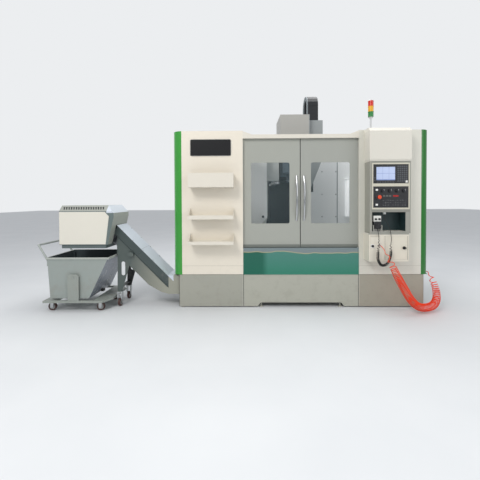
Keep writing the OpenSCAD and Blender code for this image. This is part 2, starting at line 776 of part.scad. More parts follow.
module side_panels() {
  color([0.85, 0.87, 0.86]) {
    side_sheet();
    mirror([1, 0, 0]) side_sheet();
    block([-half_w, side_rear_y - sheet, col_z], [rear_l, side_rear_y, encl_h]);
    difference() {
      block([rear_r, side_rear_y - sheet, col_z], [half_w, side_rear_y, encl_h]);
      block([seam_x, side_rear_y - sheet - 1, col_z - 1], [seam_x + 10, side_rear_y - 1, encl_h + 1]);
      block([rear_r - 1, side_rear_y - sheet - 1, col_z - 1], [sx + bed_half + 3, side_rear_y + 1, bed_top + 1]);
    }
    chip_pan(-inner_x, sx - bed_half - 3);
    chip_pan(sx + bed_half + 3, inner_x);
    along_y(guard_y, guard_y + sheet) polygon([
      [-inner_x - 1, guard_lo], [guard_r - 100, guard_lo], [guard_r, guard_lo + 109], [guard_r, encl_h - 15],
      [-inner_x - 1, encl_h - 15]
    ]);
    translate([lamp_x, side_rear_y - 42, lamp_z]) cylinder(r = 30, h = lamp_h);
    for (z = [lamp_z - 14, lamp_z + lamp_h])
      translate([lamp_x, side_rear_y - 42, z]) block([-34, -34, 0], [34, 40, 14]);
  }
}

// Tool tray and two gusseted shelves on the left column
shelf_l = -1405;
shelf_r = -850;
shelf_out = 175;
tray_lo = 1530;
tray_hi = 1705;
shelf_z = [1137, 824];
module bent_shelf(z, lip, gusset) {
  y0 = front_y - shelf_out;
  block([shelf_l, y0, z], [shelf_r, front_y, z + sheet]);
  block([shelf_l, y0, z], [shelf_r, y0 + sheet, z + lip]);
  for (x = [shelf_l, shelf_r - sheet]) along_x(x, x + sheet) polygon([
    [y0, z], [front_y, z], [front_y, z + gusset], [y0, z + lip]
  ]);
  block([shelf_l, front_y - sheet, z], [shelf_r, front_y, z + lip]);
}
module tool_shelves() {
  color([0.9, 0.87, 0.82]) {
    difference() {
      block([shelf_l, front_y - shelf_out, tray_lo], [shelf_r, front_y, tray_hi]);
      block([shelf_l + sheet, front_y - shelf_out + sheet, tray_lo + sheet], [shelf_r - sheet, front_y - sheet, tray_hi + 1]);
    }
    bent_shelf(shelf_z[0], 48, 137);
    bent_shelf(shelf_z[1], 42, 131);
  }
}
// Bare name plate
plate_l = -1403;
plate_r = -883;
plate_lo = 1932;
plate_hi = 2144;
module plate_outline(t, r) {
  round_rect(plate_l + t, plate_lo + t, plate_r - t, plate_hi - t, r);
}
module name_plate() {
  color([0.08, 0.08, 0.09]) difference() {
    along_y(front_y - 6, front_y) plate_outline(0, 22);
    along_y(front_y - 7, front_y - 4.5) difference() {
      plate_outline(9, 16);
      plate_outline(15, 12);
    }
  }
}
// Signal tower: foot, pole and three stacked lenses with a cap
tower_x = 915;
tower_y = front_y + 90;
module signal_tower() {
  translate([tower_x, tower_y, encl_h]) {
    color("silver") {
      cylinder(r = 34, h = 10);
      cylinder(r = 11, h = 170);
      translate([0, 0, 160]) cylinder(r1 = 12, r2 = 34, h = 22);
    }
    for (i = [0:2]) color(["green", "gold", "red"][i]) translate([0, 0, 182 + i * 68]) {
      cylinder(r = 33, h = 60);
      translate([0, 0, 60]) cylinder(r = 35, h = 8);
    }
    color("gray") translate([0, 0, 182 + 3 * 68]) cylinder(r1 = 34, r2 = 26, h = 12);
  }
}

// Control housing: hood, bezel with recesses, niche and lower cabinet
con_y = front_y - hood_out;
unit_x = ctl_l + 40;
screen_z = 1566;
oper_z = 1272;
niche_z = 984;
niche_h = 233;
niche_w = 404;
unit_deep = 40;
low_l = 795;
low_r = 1275;
low_z = 617;
ldoor_l = 985;
ldoor_z = 638;
ldoor_h = 290;
ldoor_w = 280;
pin = [ldoor_l + 6, con_y + 6];
wall = 4;
module control_housing() {
  color([0.86, 0.85, 0.81]) {
    difference() {
      along_x(hood_l, hood_r) polygon([
        [con_y, ctl_hi], [con_y, ctl_hi + 350], [con_y + 42, encl_h - 4], [front_y, encl_h - 4],
        [front_y, ctl_hi]
      ]);
      along_x(hood_l + wall, hood_r - wall) polygon([
        [con_y + wall, ctl_hi + wall], [con_y + wall, ctl_hi + 348], [con_y + 43, encl_h - 4 - wall],
        [front_y + 1, encl_h - 4 - wall], [front_y + 1, ctl_hi + wall]
      ]);
    }
    difference() {
      block([ctl_l, con_y + 6, ctl_lo], [ctl_r, front_y, ctl_hi]);
      block([ctl_l + wall, con_y + 6 + unit_deep + wall, oper_z - 30], [ctl_r - wall, front_y + 1, ctl_hi - wall]);
      for (u = [[screen_z, screen_h], [oper_z, oper_h]])
        block([unit_x - seat, con_y, u[0] - seat], [unit_x + unit_w + seat, con_y + 6 + unit_deep, u[0] + u[1] + seat]);
      block([unit_x - 12, con_y, niche_z], [unit_x - 12 + niche_w, front_y - 6, niche_z + niche_h]);
      block([unit_x - 20, con_y, ctl_lo + 8], [unit_x + unit_w + 20, con_y + 8, ctl_hi - 22]);
    }
    difference() {
      block([low_l, con_y, low_z], [low_r, front_y, ctl_lo]);
      block([low_l + wall, con_y + 24, low_z + wall], [low_r - wall, front_y - wall, ctl_lo - wall]);
      block([ldoor_l, con_y - 1, ldoor_z], [ldoor_l + ldoor_w, con_y + 13, ldoor_z + ldoor_h]);
      block([ldoor_l + 14, con_y, ldoor_z + 14], [ldoor_l + ldoor_w - 14, con_y + 30, ldoor_z + ldoor_h - 14]);
      translate([pin[0], pin[1], ldoor_z - 8]) cylinder(r = 3 + run, h = ldoor_h + 16);
      along_y(con_y - 1, con_y + 2) difference() {
        round_rect(low_l + 16, low_z + 24, ldoor_l - 16, ctl_lo - 26, 6);
        round_rect(low_l + 19, low_z + 27, ldoor_l - 19, ctl_lo - 29, 5);
      }
    }
    color("black") translate([837, 0, 806]) {
      rod_y(con_y - 12, con_y, 15);
      rod_y(con_y - 22, con_y - 12, 9);
    }
    color("silver") translate([hose_pt[0][0], 0, hose_pt[0][2]]) rod_y(hose_pt[0][1] + seat, con_y, 11);
    color("black") block([lead_end[0] - 14, lead_end[1] - 14, lead_end[2]], [lead_end[0] + 14, lead_end[1] + 14, niche_z + niche_h]);
    // Pendant holder on the niche floor
    difference() {
      block([pend_x - 56, pend_y - 34, niche_z], [pend_x + 56, pend_y + 60, niche_z + 74]);
      block([pend_x - 46, pend_y - 35, niche_z - 1], [pend_x + 46, pend_y + 26, niche_z + 75]);
    }
  }
}
// Screen unit: bezel, screen recess, soft keys and a raised keypad
module display_unit() {
  color([0.1, 0.11, 0.14]) translate([unit_x, con_y + 8, screen_z]) {
    difference() {
      block([0, 0, 0], [unit_w, unit_deep - 6, screen_h]);
      block([38, -1, 38], [266, 3, screen_h - 30]);
      block([8, -1, 18], [30, 1.5, screen_h - 18]);
    }
    for (i = [0:6]) block([44 + i * 31, -3, 10], [64 + i * 31, 0, 22]);
    for (r = [0:7], c = [0:4]) block([290 + c * 25, -4, 20 + r * 25], [309 + c * 25, 0, 38 + r * 25]);
    block([12, -3, 30], [26, 1.5, 46]);
    block([12, -3, 60], [26, 1.5, 76]);
  }
}
// Operator panel: plate with key rows, a counter window and four rotary knobs
knob_x = [118, 204, 290, 372];
estop_x = 68;
estop_z = 128;
start_z = 216;
stop_z = 36;
module operator_panel() {
  color([0.09, 0.09, 0.1]) translate([unit_x, con_y + 8, oper_z]) {
    difference() {
      block([0, 0, 0], [unit_w, unit_deep - 6, oper_h]);
      block([240, -1, 132], [306, 2, 152]);
      translate([estop_x, 0, estop_z]) rod_y(-1, unit_deep, 11 + run);
      for (z = [start_z, stop_z]) translate([40, 0, z]) rod_y(-1, unit_deep, 7 + run);
    }
    for (x = knob_x) translate([x, 0, 206]) {
      rod_y(-4, 0, 26);
      rod_y(-22, -4, 17);
      block([-3.5, -30, -19], [3.5, -20, 19]);
    }
    for (r = [0:2], c = [0:9]) block([118 + c * 29, -3, 18 + r * 29], [138 + c * 29, 0, 38 + r * 29]);
    for (c = [0:2]) block([118 + c * 36, -3, 132], [144 + c * 36, 0, 152]);
    for (c = [0:1]) block([330 + c * 36, -3, 132], [356 + c * 36, 0, 152]);
    translate([estop_x, 0, estop_z]) difference() {
      rod_y(-4, 0, 34);
      rod_y(-5, 1, 11 + run);
    }
  }
}
press = 5;
module emergency_stop() {
  color("red") translate([unit_x + estop_x, con_y + 8, oper_z + estop_z]) {
    rod_y(-20, 26, 11);
    translate([0, -20, 0]) rotate([90, 0, 0]) {
      cylinder(r1 = 20, r2 = 24, h = 8);
      translate([0, 0, 8]) cylinder(r1 = 24, r2 = 19, h = 6);
    }
  }
}
module push_button(z) {
  translate([unit_x + 40, con_y + 8, oper_z + z]) {
    rod_y(-6, 26, 7);
    block([-13, -12, -11], [13, -6, 11]);
  }
}
module start_button() {
  color("white") push_button(start_z);
}
module stop_button() {
  color("white") push_button(stop_z);
}
// Hand pendant with a handwheel dial, standing in its holder
pend_x = 902;
pend_y = con_y + 40;
module hand_pendant() {
  color([0.08, 0.08, 0.09]) {
    difference() {
      block([pend_x - 44, pend_y - 24, niche_z + 30], [pend_x + 44, pend_y + 25, niche_z + 188]);
      translate([pend_x, 0, niche_z + 60]) rod_y(pend_y - 25, pend_y, 5 + run);
    }
    for (x = [-22, 22]) translate([pend_x + x, 0, niche_z + 148]) {
      rod_y(pend_y - 38, pend_y - 24, 13);
      block([-2, pend_y - 41, 0], [2, pend_y - 37, 13]);
    }
    translate([pend_x, lead_pt[0][1], lead_pt[0][2]]) rotate([-45, 0, 0]) translate([0, 0, seat]) cylinder(r1 = 6, r2 = 9, h = 26);
  }
}
module pendant_dial() {
  color("silver") translate([pend_x, 0, niche_z + 60]) {
    rod_y(pend_y - 25.5, pend_y - 4, 5);
    difference() {
      rod_y(pend_y - 38, pend_y - 24 - seat, 32);
      translate([0, 0, 20]) rod_y(pend_y - 39, pend_y - 35, 7);
    }
    translate([0, 0, 20]) rod_y(pend_y - 48, pend_y - 35, 4);
  }
}

// A tube swept along points, with a radius at each; upright ring frames turn with the route
function unit(v) = v / norm(v);
function spline(p, i, t) = let (
  n = len(p),
  a = p[max(i - 1, 0)], b = p[i], c = p[i + 1], d = p[min(i + 2, n - 1)]
) 0.5 * (2 * b + (c - a) * t + (2 * a - 5 * b + 4 * c - d) * t * t + (3 * b - a - 3 * c + d) * t * t * t);
module tube(p, r, per, sides, side_dir) {
  n = (len(p) - 1) * per;
  path = [for (k = [0:n]) spline(p, min(floor(k / per), len(p) - 2), k == n ? 1 : (k % per) / per)];
  rad = [for (k = [0:n]) let (
    i = min(floor(k / per), len(p) - 2),
    t = k == n ? 1 : (k % per) / per
  ) r[i] * (1 - t) + r[i + 1] * t];
  rings = [for (k = [0:n]) let (
    d = unit(path[min(k + 1, n)] - path[max(k - 1, 0)]),
    u = unit(cross(d, side_dir)),
    v = cross(d, u)
  ) [for (a = [0:sides - 1]) path[k] + rad[k] * (cos(a * 360 / sides) * u + sin(a * 360 / sides) * v)]];
  polyhedron(
    points = [for (g = rings) for (q = g) q],
    faces = concat(
      [[for (a = [0:sides - 1]) a]],
      [for (k = [0:n - 1], a = [0:sides - 1]) let (b = (a + 1) % sides)
        [k * sides + a, (k + 1) * sides + a, (k + 1) * sides + b, k * sides + b]],
      [[for (a = [sides - 1:-1:0]) n * sides + a]]
    )
  );
}
// Pendant lead: thin ends and a thick curly middle hanging in front of the lower cabinet
lead_end = [1004, -1010, 1190];
lead_pt = [
  [902, -1048, 1008], [902, -1055, 1001], [902, -1062, 994], [900, -1092, 950], [894, -1115, 835],
  [884, -1115, 730], [888, -1115, 640], [930, -1115, 580], [985, -1115, 590],
  [1025, -1115, 660], [1038, -1115, 740], [1034, -1115, 805],
  [1046, -1108, 880], [1048, -1085, 970], [1030, -1040, 1080], [1004, -1010, 1150],
  [1004, -1010, 1172], [1004, -1010, 1190 - seat]
];
lead_r = [4, 4, 4, 4, 12, 17, 17, 17, 17, 17, 17, 12, 4, 4, 4, 4, 4, 4];
module pendant_lead() {
  color([0.05, 0.05, 0.05]) tube(lead_pt, lead_r, 3, 8, [0.05, 1, 0.02]);
}
// Air hose: its coiled stretch drawn as a tube of the coil's outer size
hose_pt = [
  [915, -1100, 815], [915, -1112, 815], [915, -1125, 815], [922, -1175, 790], [960, -1200, 700], [1010, -1205, 600],
  [1085, -1200, 450], [1165, -1190, 310],
  [1250, -1175, 180], [1350, -1150, 95], [1470, -1110, 70], [1580, -1060, 85],
  [1660, -990, 140], [1690, -930, 230], [1685, -870, 330], [1690, -790, 400],
  [half_w + 28, -725, 430], [half_w + 14, -725, 430], [half_w + seat, -725, 430]
];
hose_r = [6, 6, 6, 7, 24, 38, 46, 48, 48, 48, 48, 48, 46, 44, 38, 20, 6, 6, 6];
module air_hose() {
  color([0.92, 0.25, 0.14]) tube(hose_pt, hose_r, 3, 10, [0.1, 1, 0.3]);
}
// Lower cabinet door with a quarter-turn lock
module lower_door() {
  color([0.88, 0.86, 0.8]) {
    difference() {
      block([ldoor_l + 2, con_y, ldoor_z + 2], [ldoor_l + ldoor_w - 2, con_y + 12 - seat, ldoor_z + ldoor_h - 2]);
      block([ldoor_l + 22, con_y - 1, ldoor_z + 22], [ldoor_l + ldoor_w - 22, con_y + 2, ldoor_z + ldoor_h - 22]);
    }
    for (z = [ldoor_z - 7, ldoor_z + ldoor_h - 3]) translate([pin[0], pin[1], z]) cylinder(r = 3, h = 10);
    color("black") translate([ldoor_l + ldoor_w - 48, 0, 783]) {
      rod_y(con_y - 8, con_y + 3, 19);
      block([-22, con_y - 20, -6], [22, con_y - 7, 6]);
    }
  }
}

// Electrical cabinet on the back of the column, with its hinged door
elec_l = -560;
elec_r = 630;
elec_z = 600;
elec_h = 1500;
elec_y = bed_back;
elec_d = 340;
hinge_x = elec_l - 12;
hinge_y = elec_y + elec_d + 12;
hinge_zs = [elec_z + 160, elec_z + 0.48 * elec_h, elec_z + elec_h - 220];
module electrical_cabinet() {
  color([0.85, 0.87, 0.86]) {
    difference() {
      block([elec_l, elec_y, elec_z], [elec_r, elec_y + elec_d, elec_z + elec_h]);
      block([elec_l + sheet, elec_y + sheet, elec_z + sheet], [elec_r - sheet, elec_y + elec_d + 1, elec_z + elec_h - sheet]);
    }
    block([elec_l + 60, elec_y + sheet, elec_z + 60], [elec_r - 60, elec_y + 12, elec_z + elec_h - 60]);
    for (r = [0:3], c = [0:4]) translate([elec_l + 120 + c * 200, elec_y + 12, elec_z + 160 + r * 320])
      cube([130, 178, 200]);
    for (z = hinge_zs) {
      block([hinge_x - 8, hinge_y - 50, z - 44], [elec_l, hinge_y - 14, z + 44]);
      for (s = [-1, 1]) block([hinge_x - 8, hinge_y - 50, z + s * 38 - 6], [hinge_x + 8, hinge_y + 8, z + s * 38 + 6]);
      translate([hinge_x, hinge_y, z - 34]) cylinder(r = 5, h = 68);
    }
  }
}
module electrical_door() {
  y0 = elec_y + elec_d + 1;
  color([0.85, 0.87, 0.86]) {
    difference() {
      union() {
        block([elec_l + 4, y0, elec_z], [elec_r, y0 + 22, elec_z + elec_h]);
        for (z = hinge_zs) {
          block([hinge_x, y0 + 6, z - 30], [elec_l + 5, y0 + 16, z + 30]);
          translate([hinge_x, hinge_y, z - 30]) cylinder(r = 10, h = 60);
        }
      }
      block([elec_l + 30, y0 - 1, elec_z + 30], [elec_r - 30, y0 + 19, elec_z + elec_h - 30]);
      for (z = hinge_zs) translate([hinge_x, hinge_y, z - 40]) cylinder(r = 5 + run, h = 80);
      for (i = [0:9], z = [elec_z + 120, elec_z + elec_h - 300])
        block([-200, y0 - 1, z + i * 18], [260, y0 + 30, z + 8 + i * 18]);
    }
    color("black") translate([elec_r - 70, 0, elec_z + 800]) {
      block([-16, y0 + 22, -60], [16, y0 + 30, 60]);
      block([-8, y0 + 30, -10], [8, y0 + 48, 50]);
    }
  }
}

// Chip conveyor: closed trough in X and Z with a 45 degree rise
tz = trough_z;
tt = trough_z + trough_h;
rise = incline_l / sqrt(2);
top_x = bend_x - rise;
top_z = tt + rise;
low_dz = 370;
tail_x = 1450;
function trough_pts(t) = [
  [tail_x - t, tz + t], [bend_x + 10, tz + t], [bend_x - 90 - t * 0.3, tz + 30 + t],
  [bend_x - 249 - t * 0.2, tt - 121 + t], [top_x, top_z - low_dz + 1.41 * t], [top_x, top_z - 1.41 * t],
  [bend_x - t * 0.4, tt - t], [tail_x - t, tt - t]
];
conv_y0 = trough_y0;
conv_y1 = trough_y0 + trough_w;
leg_x = top_x + 30;
leg_z = 190;
caster_y = [conv_y0 + 16, conv_y1 - 16];
module caster_fork(top) {
  translate([0, 0, top - 6]) block([-32, -32, 0], [32, 32, 6]);
  difference() {
    block([-26, -30, wheel_r * 2 + 12], [26, 30, top - 5]);
    block([-27, -19, wheel_r * 2], [27, 19, top - 10]);
  }
  for (s = [-1, 1]) along_y(s * 22 - 3, s * 22 + 3) polygon([
    [-14, wheel_r - 14], [14, wheel_r - 14], [26, wheel_r * 2 + 12.1], [-26, wheel_r * 2 + 12.1]
  ]);
  translate([0, 0, wheel_r]) rod_y(-29, 29, 6);
}
module wheel() {
  translate([0, 0, wheel_r]) difference() {
    union() {
      rod_y(-16, 16, wheel_r - 3);
      rod_y(-12, 12, wheel_r);
      rod_y(-18.6, 18.6, 14);
    }
    rod_y(-20, 20, 6 + run);
    for (s = [-1, 1]) difference() {
      rod_y(s * 16 - 4, s * 16 + 4, wheel_r - 14);
      rod_y(-20, 20, 20);
    }
  }
}
module leg(y, t) {
  difference() {
    along_y(y, y + t) polygon([
      [top_x + 4, top_z - low_dz - 4], [top_x + 4, top_z - low_dz - 60], [leg_x - 30, leg_z],
      [leg_x + 30, leg_z], [top_x + 156, top_z - low_dz - 156]
    ]);
    along_y(y - 1, y + t + 1) round_rect(leg_x + 24, 400, leg_x + 72, 580, 22);
  }
}
module chip_conveyor() {
  color([0.55, 0.59, 0.57]) {
    difference() {
      along_y(conv_y0, conv_y1) polygon(trough_pts(0));
      along_y(conv_y0 + sheet, conv_y1 - sheet) polygon(trough_pts(sheet));
      block([top_x - 1, conv_y0 + sheet, tz], [top_x + 1, conv_y1 - sheet, top_z + 1]);
      block([-inner_x + 20, conv_y0 - 1, tt - 10], [tail_x - 20, conv_y1 + 1, tt + 1]);
    }
    for (y = [conv_y0 - 9, conv_y1]) {
      translate([top_x, y, top_z - low_dz / 2 + 30]) rotate([0, 45, 0]) cube([incline_l - 10, 9, 8]);
      for (k = [0:1]) translate([top_x, y + (y < conv_y0 ? 5 : 0), top_z]) rotate([0, 45, 0])
        translate([30 + k * 440, 0, -100]) cube([430, 4, 96]);
    }
    block([top_x + 150, conv_y0 - 40, top_z - 400], [top_x + 220, conv_y0, top_z - 350]);
    for (y = [conv_y0 + 2, conv_y1 - 8]) leg(y, 6);
    block([leg_x - 20, conv_y0 + 8, 230], [leg_x + 20, conv_y1 - 8, 250]);
    for (y = caster_y) translate([leg_x, y, 0]) rotate([0, 0, 90]) caster_fork(leg_z);
    for (y = caster_y) block([leg_x - 32, y - 22, leg_z], [leg_x + 32, y + 22, leg_z + 5]);
  }
}
module conveyor_wheel_front() {
  color("dimgray") translate([leg_x, caster_y[0], 0]) rotate([0, 0, 90]) wheel();
}
module conveyor_wheel_rear() {
  color("dimgray") translate([leg_x, caster_y[1], 0]) rotate([0, 0, 90]) wheel();
}

// Discharge head: chamfered sheet housing with slanted vents and a pale front panel
head_l = -3037;
head_r = top_x + 22;
head_y0 = front_y - 100;
head_y1 = conv_y1 + 4 + seat + sheet;
head_lo = 820;
head_hi = 1313;
vent_n = 17;
module head_solid(t) {
  intersection() {
    along_y(head_y0 + t, head_y1 - t) polygon([
      [head_l + t, head_lo - t], [head_r - 80 - t, head_lo - t], [head_r - t, 1170],
      [head_r - t, head_hi - 95 - t * 0.41], [head_r - 90 - t * 0.41, head_hi - t], [head_l + t, head_hi - t]
    ]);
    along_x(head_l, head_r) polygon([
      [head_y0 + t, head_lo - t], [head_y0 + t, 1240 - t / 2], [head_y0 + 73 + t / 2, head_hi - t],
      [head_y1 - t, head_hi - t], [head_y1 - t, head_lo - t]
    ]);
  }
}
module discharge_head() {
  color([0.63, 0.64, 0.61]) {
    difference() {
      head_solid(0);
      head_solid(sheet);
      along_y(conv_y0 - 12, head_y1 - sheet) polygon([
        [head_r - 95, head_lo - 10], [head_r - 95, top_z - 60], [top_x - 14, top_z + seat], [top_x, top_z + seat],
        [bend_x, tt + seat], [bend_x, 0], [top_x, top_z - low_dz - 20]
      ]);
      for (i = [0:vent_n - 1]) translate([head_l + 48 + i * 31, head_y0 + 36, 1277]) rotate([-45, 0, 0])
        rotate([0, 0, -24]) cube([9, 62, 40], center = true);
    }
    along_y(head_y0 - 3, head_y0) polygon([
      [head_l + 3, 826], [head_l + 3, 1232], [head_r - 112, 1232], [head_r - 60, 1176], [head_r - 104, 826]
    ]);
    block([head_l + 20, head_y1, 930], [head_l + 160, head_y1 + 110, 1180]);
    translate([head_l + 90, 0, 1060]) rod_y(head_y1 + 110, head_y1 + 260, 62);
  }
}

// Hinged steel belt on two sprocket shafts, with cleats and hinge ridges
belt_r = 56;
belt_t = 6;
belt_y0 = conv_y0 + 20;
belt_y1 = conv_y1 - 20;
tail_c = [tail_x - 80, tz + 78];
bend_c = [bend_x - 40, tz + 78];
belt_up = incline_l + 50;
head_c = bend_c + belt_up * [-1, 1] / sqrt(2);
// Flat links round the tail, the bend and the head shaft, turning clockwise
function arc(c, r, from, to) = [for (a = [from:-22.5:to]) c + r * [cos(a), sin(a)]];
module loop_shape(r) {
  polygon(concat(
    arc(tail_c, r, 90, -90), arc(bend_c, r, 270, 225), arc(head_c, r, 225, 45),
    [bend_c + [r * tan(22.5), r]]
  ));
}
ridge = 63;
function cleat(i) = i % 5 == 0 ? 24 : 4;
module conveyor_belt() {
  color("dimgray") {
    along_y(belt_y0, belt_y1) difference() {
      loop_shape(belt_r);
      loop_shape(belt_r - belt_t);
    }
    translate([bend_c[0], 0, bend_c[1]]) {
      for (i = [1:floor((tail_c[0] - bend_c[0]) / ridge) - 1])
        block([i * ridge, belt_y0, belt_r - eps], [i * ridge + 9, belt_y1, belt_r + cleat(i)]);
      rotate([0, -135, 0]) for (i = [1:floor(belt_up / ridge) - 1])
        block([i * ridge, belt_y0, -belt_r - cleat(i)], [i * ridge + 9, belt_y1, -belt_r + eps]);
    }
    for (c = [tail_c, head_c]) translate([c[0], 0, c[1]]) {
      rod_y(conv_y0 + sheet + seat, conv_y1 - sheet - seat, 20);
      for (y = [belt_y0 + 8, belt_y1 - 28]) difference() {
        rod_y(y, y + 20, belt_r - belt_t / 2);
        for (a = [0:45:315]) rotate([0, a, 0]) translate([34, 0, 0]) rod_y(y - 1, y + 21, 7);
      }
    }
  }
}

// Chip cart: chamfered platform, posts, push handle and caster forks
cart_l = -3170;
cart_r = -2405;
cart_y0 = -1040;
cart_y1 = -390;
rim_z = 668;
tub_z = 158;
cart_x = [cart_l + 40, cart_r - 115];
cart_wy = [cart_y0 + 40, cart_y1 - 170];
pivot = [cart_l + 338, tub_z + 272];
post_w = 68;
handle_len = 255;
handle_tilt = 30;
module cart_frame() {
  color([0.6, 0.64, 0.6]) {
    translate([0, 0, 112]) linear_extrude(height = 26) difference() {
      polygon([
        [cart_l - 40, cart_y0 - 40], [cart_r - 70, cart_y0 - 40], [cart_r + 5, cart_y0 + 110],
        [cart_r + 5, cart_y1 - 90], [cart_r - 70, cart_y1 + 20], [cart_l - 40, cart_y1 + 20]
      ]);
      translate([cart_l + 110, cart_y0 - 5]) square([cart_r - cart_l - 305, cart_y1 - cart_y0 + 7]);
    }
    for (y = [cart_y0 - 34, cart_y1 + 2]) difference() {
      along_y(y, y + 15) polygon([
        [pivot[0] - post_w, 137], [pivot[0] + post_w, 137], [pivot[0] + post_w, pivot[1] + 10],
        [pivot[0] + post_w - 26, pivot[1] + 34], [pivot[0] - post_w + 26, pivot[1] + 34],
        [pivot[0] - post_w, pivot[1] + 10]
      ]);
      translate([pivot[0], 0, pivot[1]]) rod_y(y - 1, y + 16, 12 + run);
    }
    for (x = cart_x, y = cart_wy) translate([x, y, 0]) caster_fork(112);
  }
}
// Tipping tub with one sloped end, a rolled rim, pivot pins and its latch
module tub_outline(t) {
  polygon([
    [cart_l + t, rim_z + t], [cart_l + 34 + t, tub_z + t], [cart_r - 247 - t / 2, tub_z + t], [cart_r - t, rim_z + t]
  ]);
}
module cart_tub() {
  color([0.6, 0.65, 0.63]) {
    difference() {
      along_y(cart_y0, cart_y1) tub_outline(0);
      along_y(cart_y0 + sheet, cart_y1 - sheet) tub_outline(sheet);
    }
    difference() {
      block([cart_l - 12, cart_y0 - 12, rim_z - 22], [cart_r + 12, cart_y1 + 12, rim_z]);
      along_y(cart_y0, cart_y1) polygon([
        [cart_l + 1.5, rim_z - 23], [cart_r - 11, rim_z - 23], [cart_r, rim_z + 1], [cart_l, rim_z + 1]
      ]);
    }
    translate([pivot[0], 0, pivot[1]]) {
      rod_y(cart_y0 - 40, cart_y0 + eps, 12);
      rod_y(cart_y1 - eps, cart_y1 + 22, 12);
    }
    block([cart_r - 236, cart_y0 + 300, tub_z + 2], [cart_r - 200, cart_y0 + 350, tub_z + 30]);
    // Push handle: two slanted tubes on plates, joined by a grip
    for (y = [cart_y0 + 30, cart_y1 - 30]) {
      block([cart_l - 6, y - 25, 560], [cart_l + 20, y + 25, 640]);
      translate([cart_l + 4, y, 600]) rotate([0, -handle_tilt, 0]) cylinder(r = 13, h = handle_len);
    }
    translate([cart_l + 4 - handle_len * sin(handle_tilt), 0, 600 + handle_len * cos(handle_tilt)]) {
      rod_y(cart_y0 + 30, cart_y1 - 30, 13);
      for (y = [cart_y0 + 30, cart_y1 - 30]) translate([0, y, 0]) sphere(r = 13);
    }
  }
}
module cart_wheel(i, j) {
  color("brown") translate([cart_x[i], cart_wy[j], 0]) wheel();
}
module cart_wheel_front_left() {
  cart_wheel(0, 0);
}
module cart_wheel_front_right() {
  cart_wheel(1, 0);
}
module cart_wheel_back_left() {
  cart_wheel(0, 1);
}
module cart_wheel_back_right() {
  cart_wheel(1, 1);
}

bed();
levelling_feet();
base_rails();
y_screw();
z_screw();
x_screw();
axis_motors();
saddle();
table();
way_cover_left_1();
way_cover_left_2();
way_cover_right_1();
way_cover_right_2();
column();
z_cover_mid();
spindle_head();
spindle();
head_cover();
cable_chain();
magazine_frame();
magazine_disc();
change_arm();
plinth();
left_column();
right_column();
corner_trims();
door_lintel();
sill_panel();
left_door();
right_door();
left_window();
right_window();
side_panels();
tool_shelves();
name_plate();
signal_tower();
control_housing();
display_unit();
operator_panel();
emergency_stop();
start_button();
stop_button();
hand_pendant();
pendant_dial();
pendant_lead();
air_hose();
lower_door();
electrical_cabinet();
electrical_door();
chip_conveyor();
discharge_head();
conveyor_belt();
cart_frame();
cart_tub();
cart_wheel_front_left();
cart_wheel_front_right();
cart_wheel_back_left();
cart_wheel_back_right();
conveyor_wheel_front();
conveyor_wheel_rear();
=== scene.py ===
"""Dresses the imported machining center: camera, cords, finishes and small parts."""
import math

import bpy
from mathutils import Matrix, Vector


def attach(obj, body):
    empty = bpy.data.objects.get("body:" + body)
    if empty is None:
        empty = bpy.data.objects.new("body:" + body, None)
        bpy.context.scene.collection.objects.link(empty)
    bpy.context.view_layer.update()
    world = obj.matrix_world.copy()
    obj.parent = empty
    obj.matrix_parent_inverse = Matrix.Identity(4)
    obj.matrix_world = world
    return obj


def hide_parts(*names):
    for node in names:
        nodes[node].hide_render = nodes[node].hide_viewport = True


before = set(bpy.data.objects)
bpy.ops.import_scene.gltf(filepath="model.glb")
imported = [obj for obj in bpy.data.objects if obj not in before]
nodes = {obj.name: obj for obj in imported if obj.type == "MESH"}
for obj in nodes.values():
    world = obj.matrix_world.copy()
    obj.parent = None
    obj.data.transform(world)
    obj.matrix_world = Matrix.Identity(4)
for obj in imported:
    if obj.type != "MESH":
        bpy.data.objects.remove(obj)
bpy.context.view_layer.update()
scene = bpy.context.scene
MM = 0.001
SLOPE = math.radians(45)


# The photograph's viewpoint: metres, degrees, and the lens in millimetres
EYE = (-0.7184, -4.9, 1.3695)
TURN = (89.0, 0.253, 0.771)
LENS, SENSOR, LENS_SHIFT = 23.582, 36, -0.0714


def make_camera():
    data = bpy.data.cameras.new("view")
    data.lens = LENS
    data.sensor_width = SENSOR
    data.shift_y = LENS_SHIFT
    data.clip_end = 60
    camera = bpy.data.objects.new("view", data)
    scene.collection.objects.link(camera)
    camera.location = EYE
    camera.rotation_euler = [math.radians(a) for a in TURN]
    scene.camera = camera


make_camera()


# Cords: sizes in metres, points and radii in millimetres
LEAD_WIDE, LEAD_STRAIGHT, LEAD_PITCH, LEAD_BEND = 0.007, 0.0045, 0.0105, 0.0134
HOSE_WIDE, HOSE_STRAIGHT, HOSE_BEND = 0.009, 0.0075, 0.036


def spline(points, values, per):
    """Points and radii along a smooth route through the solid's own points, however they are spaced."""
    points = [Vector(p) * MM for p in points]
    last, route, radii = len(points) - 1, [], []
    ahead = [points[1] - points[0]]
    for a, b, c in zip(points, points[1:], points[2:]):
        first, second = (b - a).length, (c - b).length
        ahead.append(((b - a) * (second / first) + (c - b) * (first / second)) / (first + second))
    ahead = [ahead[0].normalized(), *ahead[1:], (points[-1] - points[-2]).normalized()]
    for k in range(last * per + 1):
        i = min(k // per, last - 1)
        t = 1.0 if k == last * per else (k % per) / per
        b, c = points[i], points[i + 1]
        reach = (c - b).length
        route.append(b * (2 * t ** 3 - 3 * t * t + 1) + ahead[i] * reach * (t ** 3 - 2 * t * t + t)
                     + c * (3 * t * t - 2 * t ** 3) + ahead[i + 1] * reach * (t ** 3 - t * t))
        radii.append((values[i] * (1 - t) + values[i + 1] * t) * MM)
    return route, radii


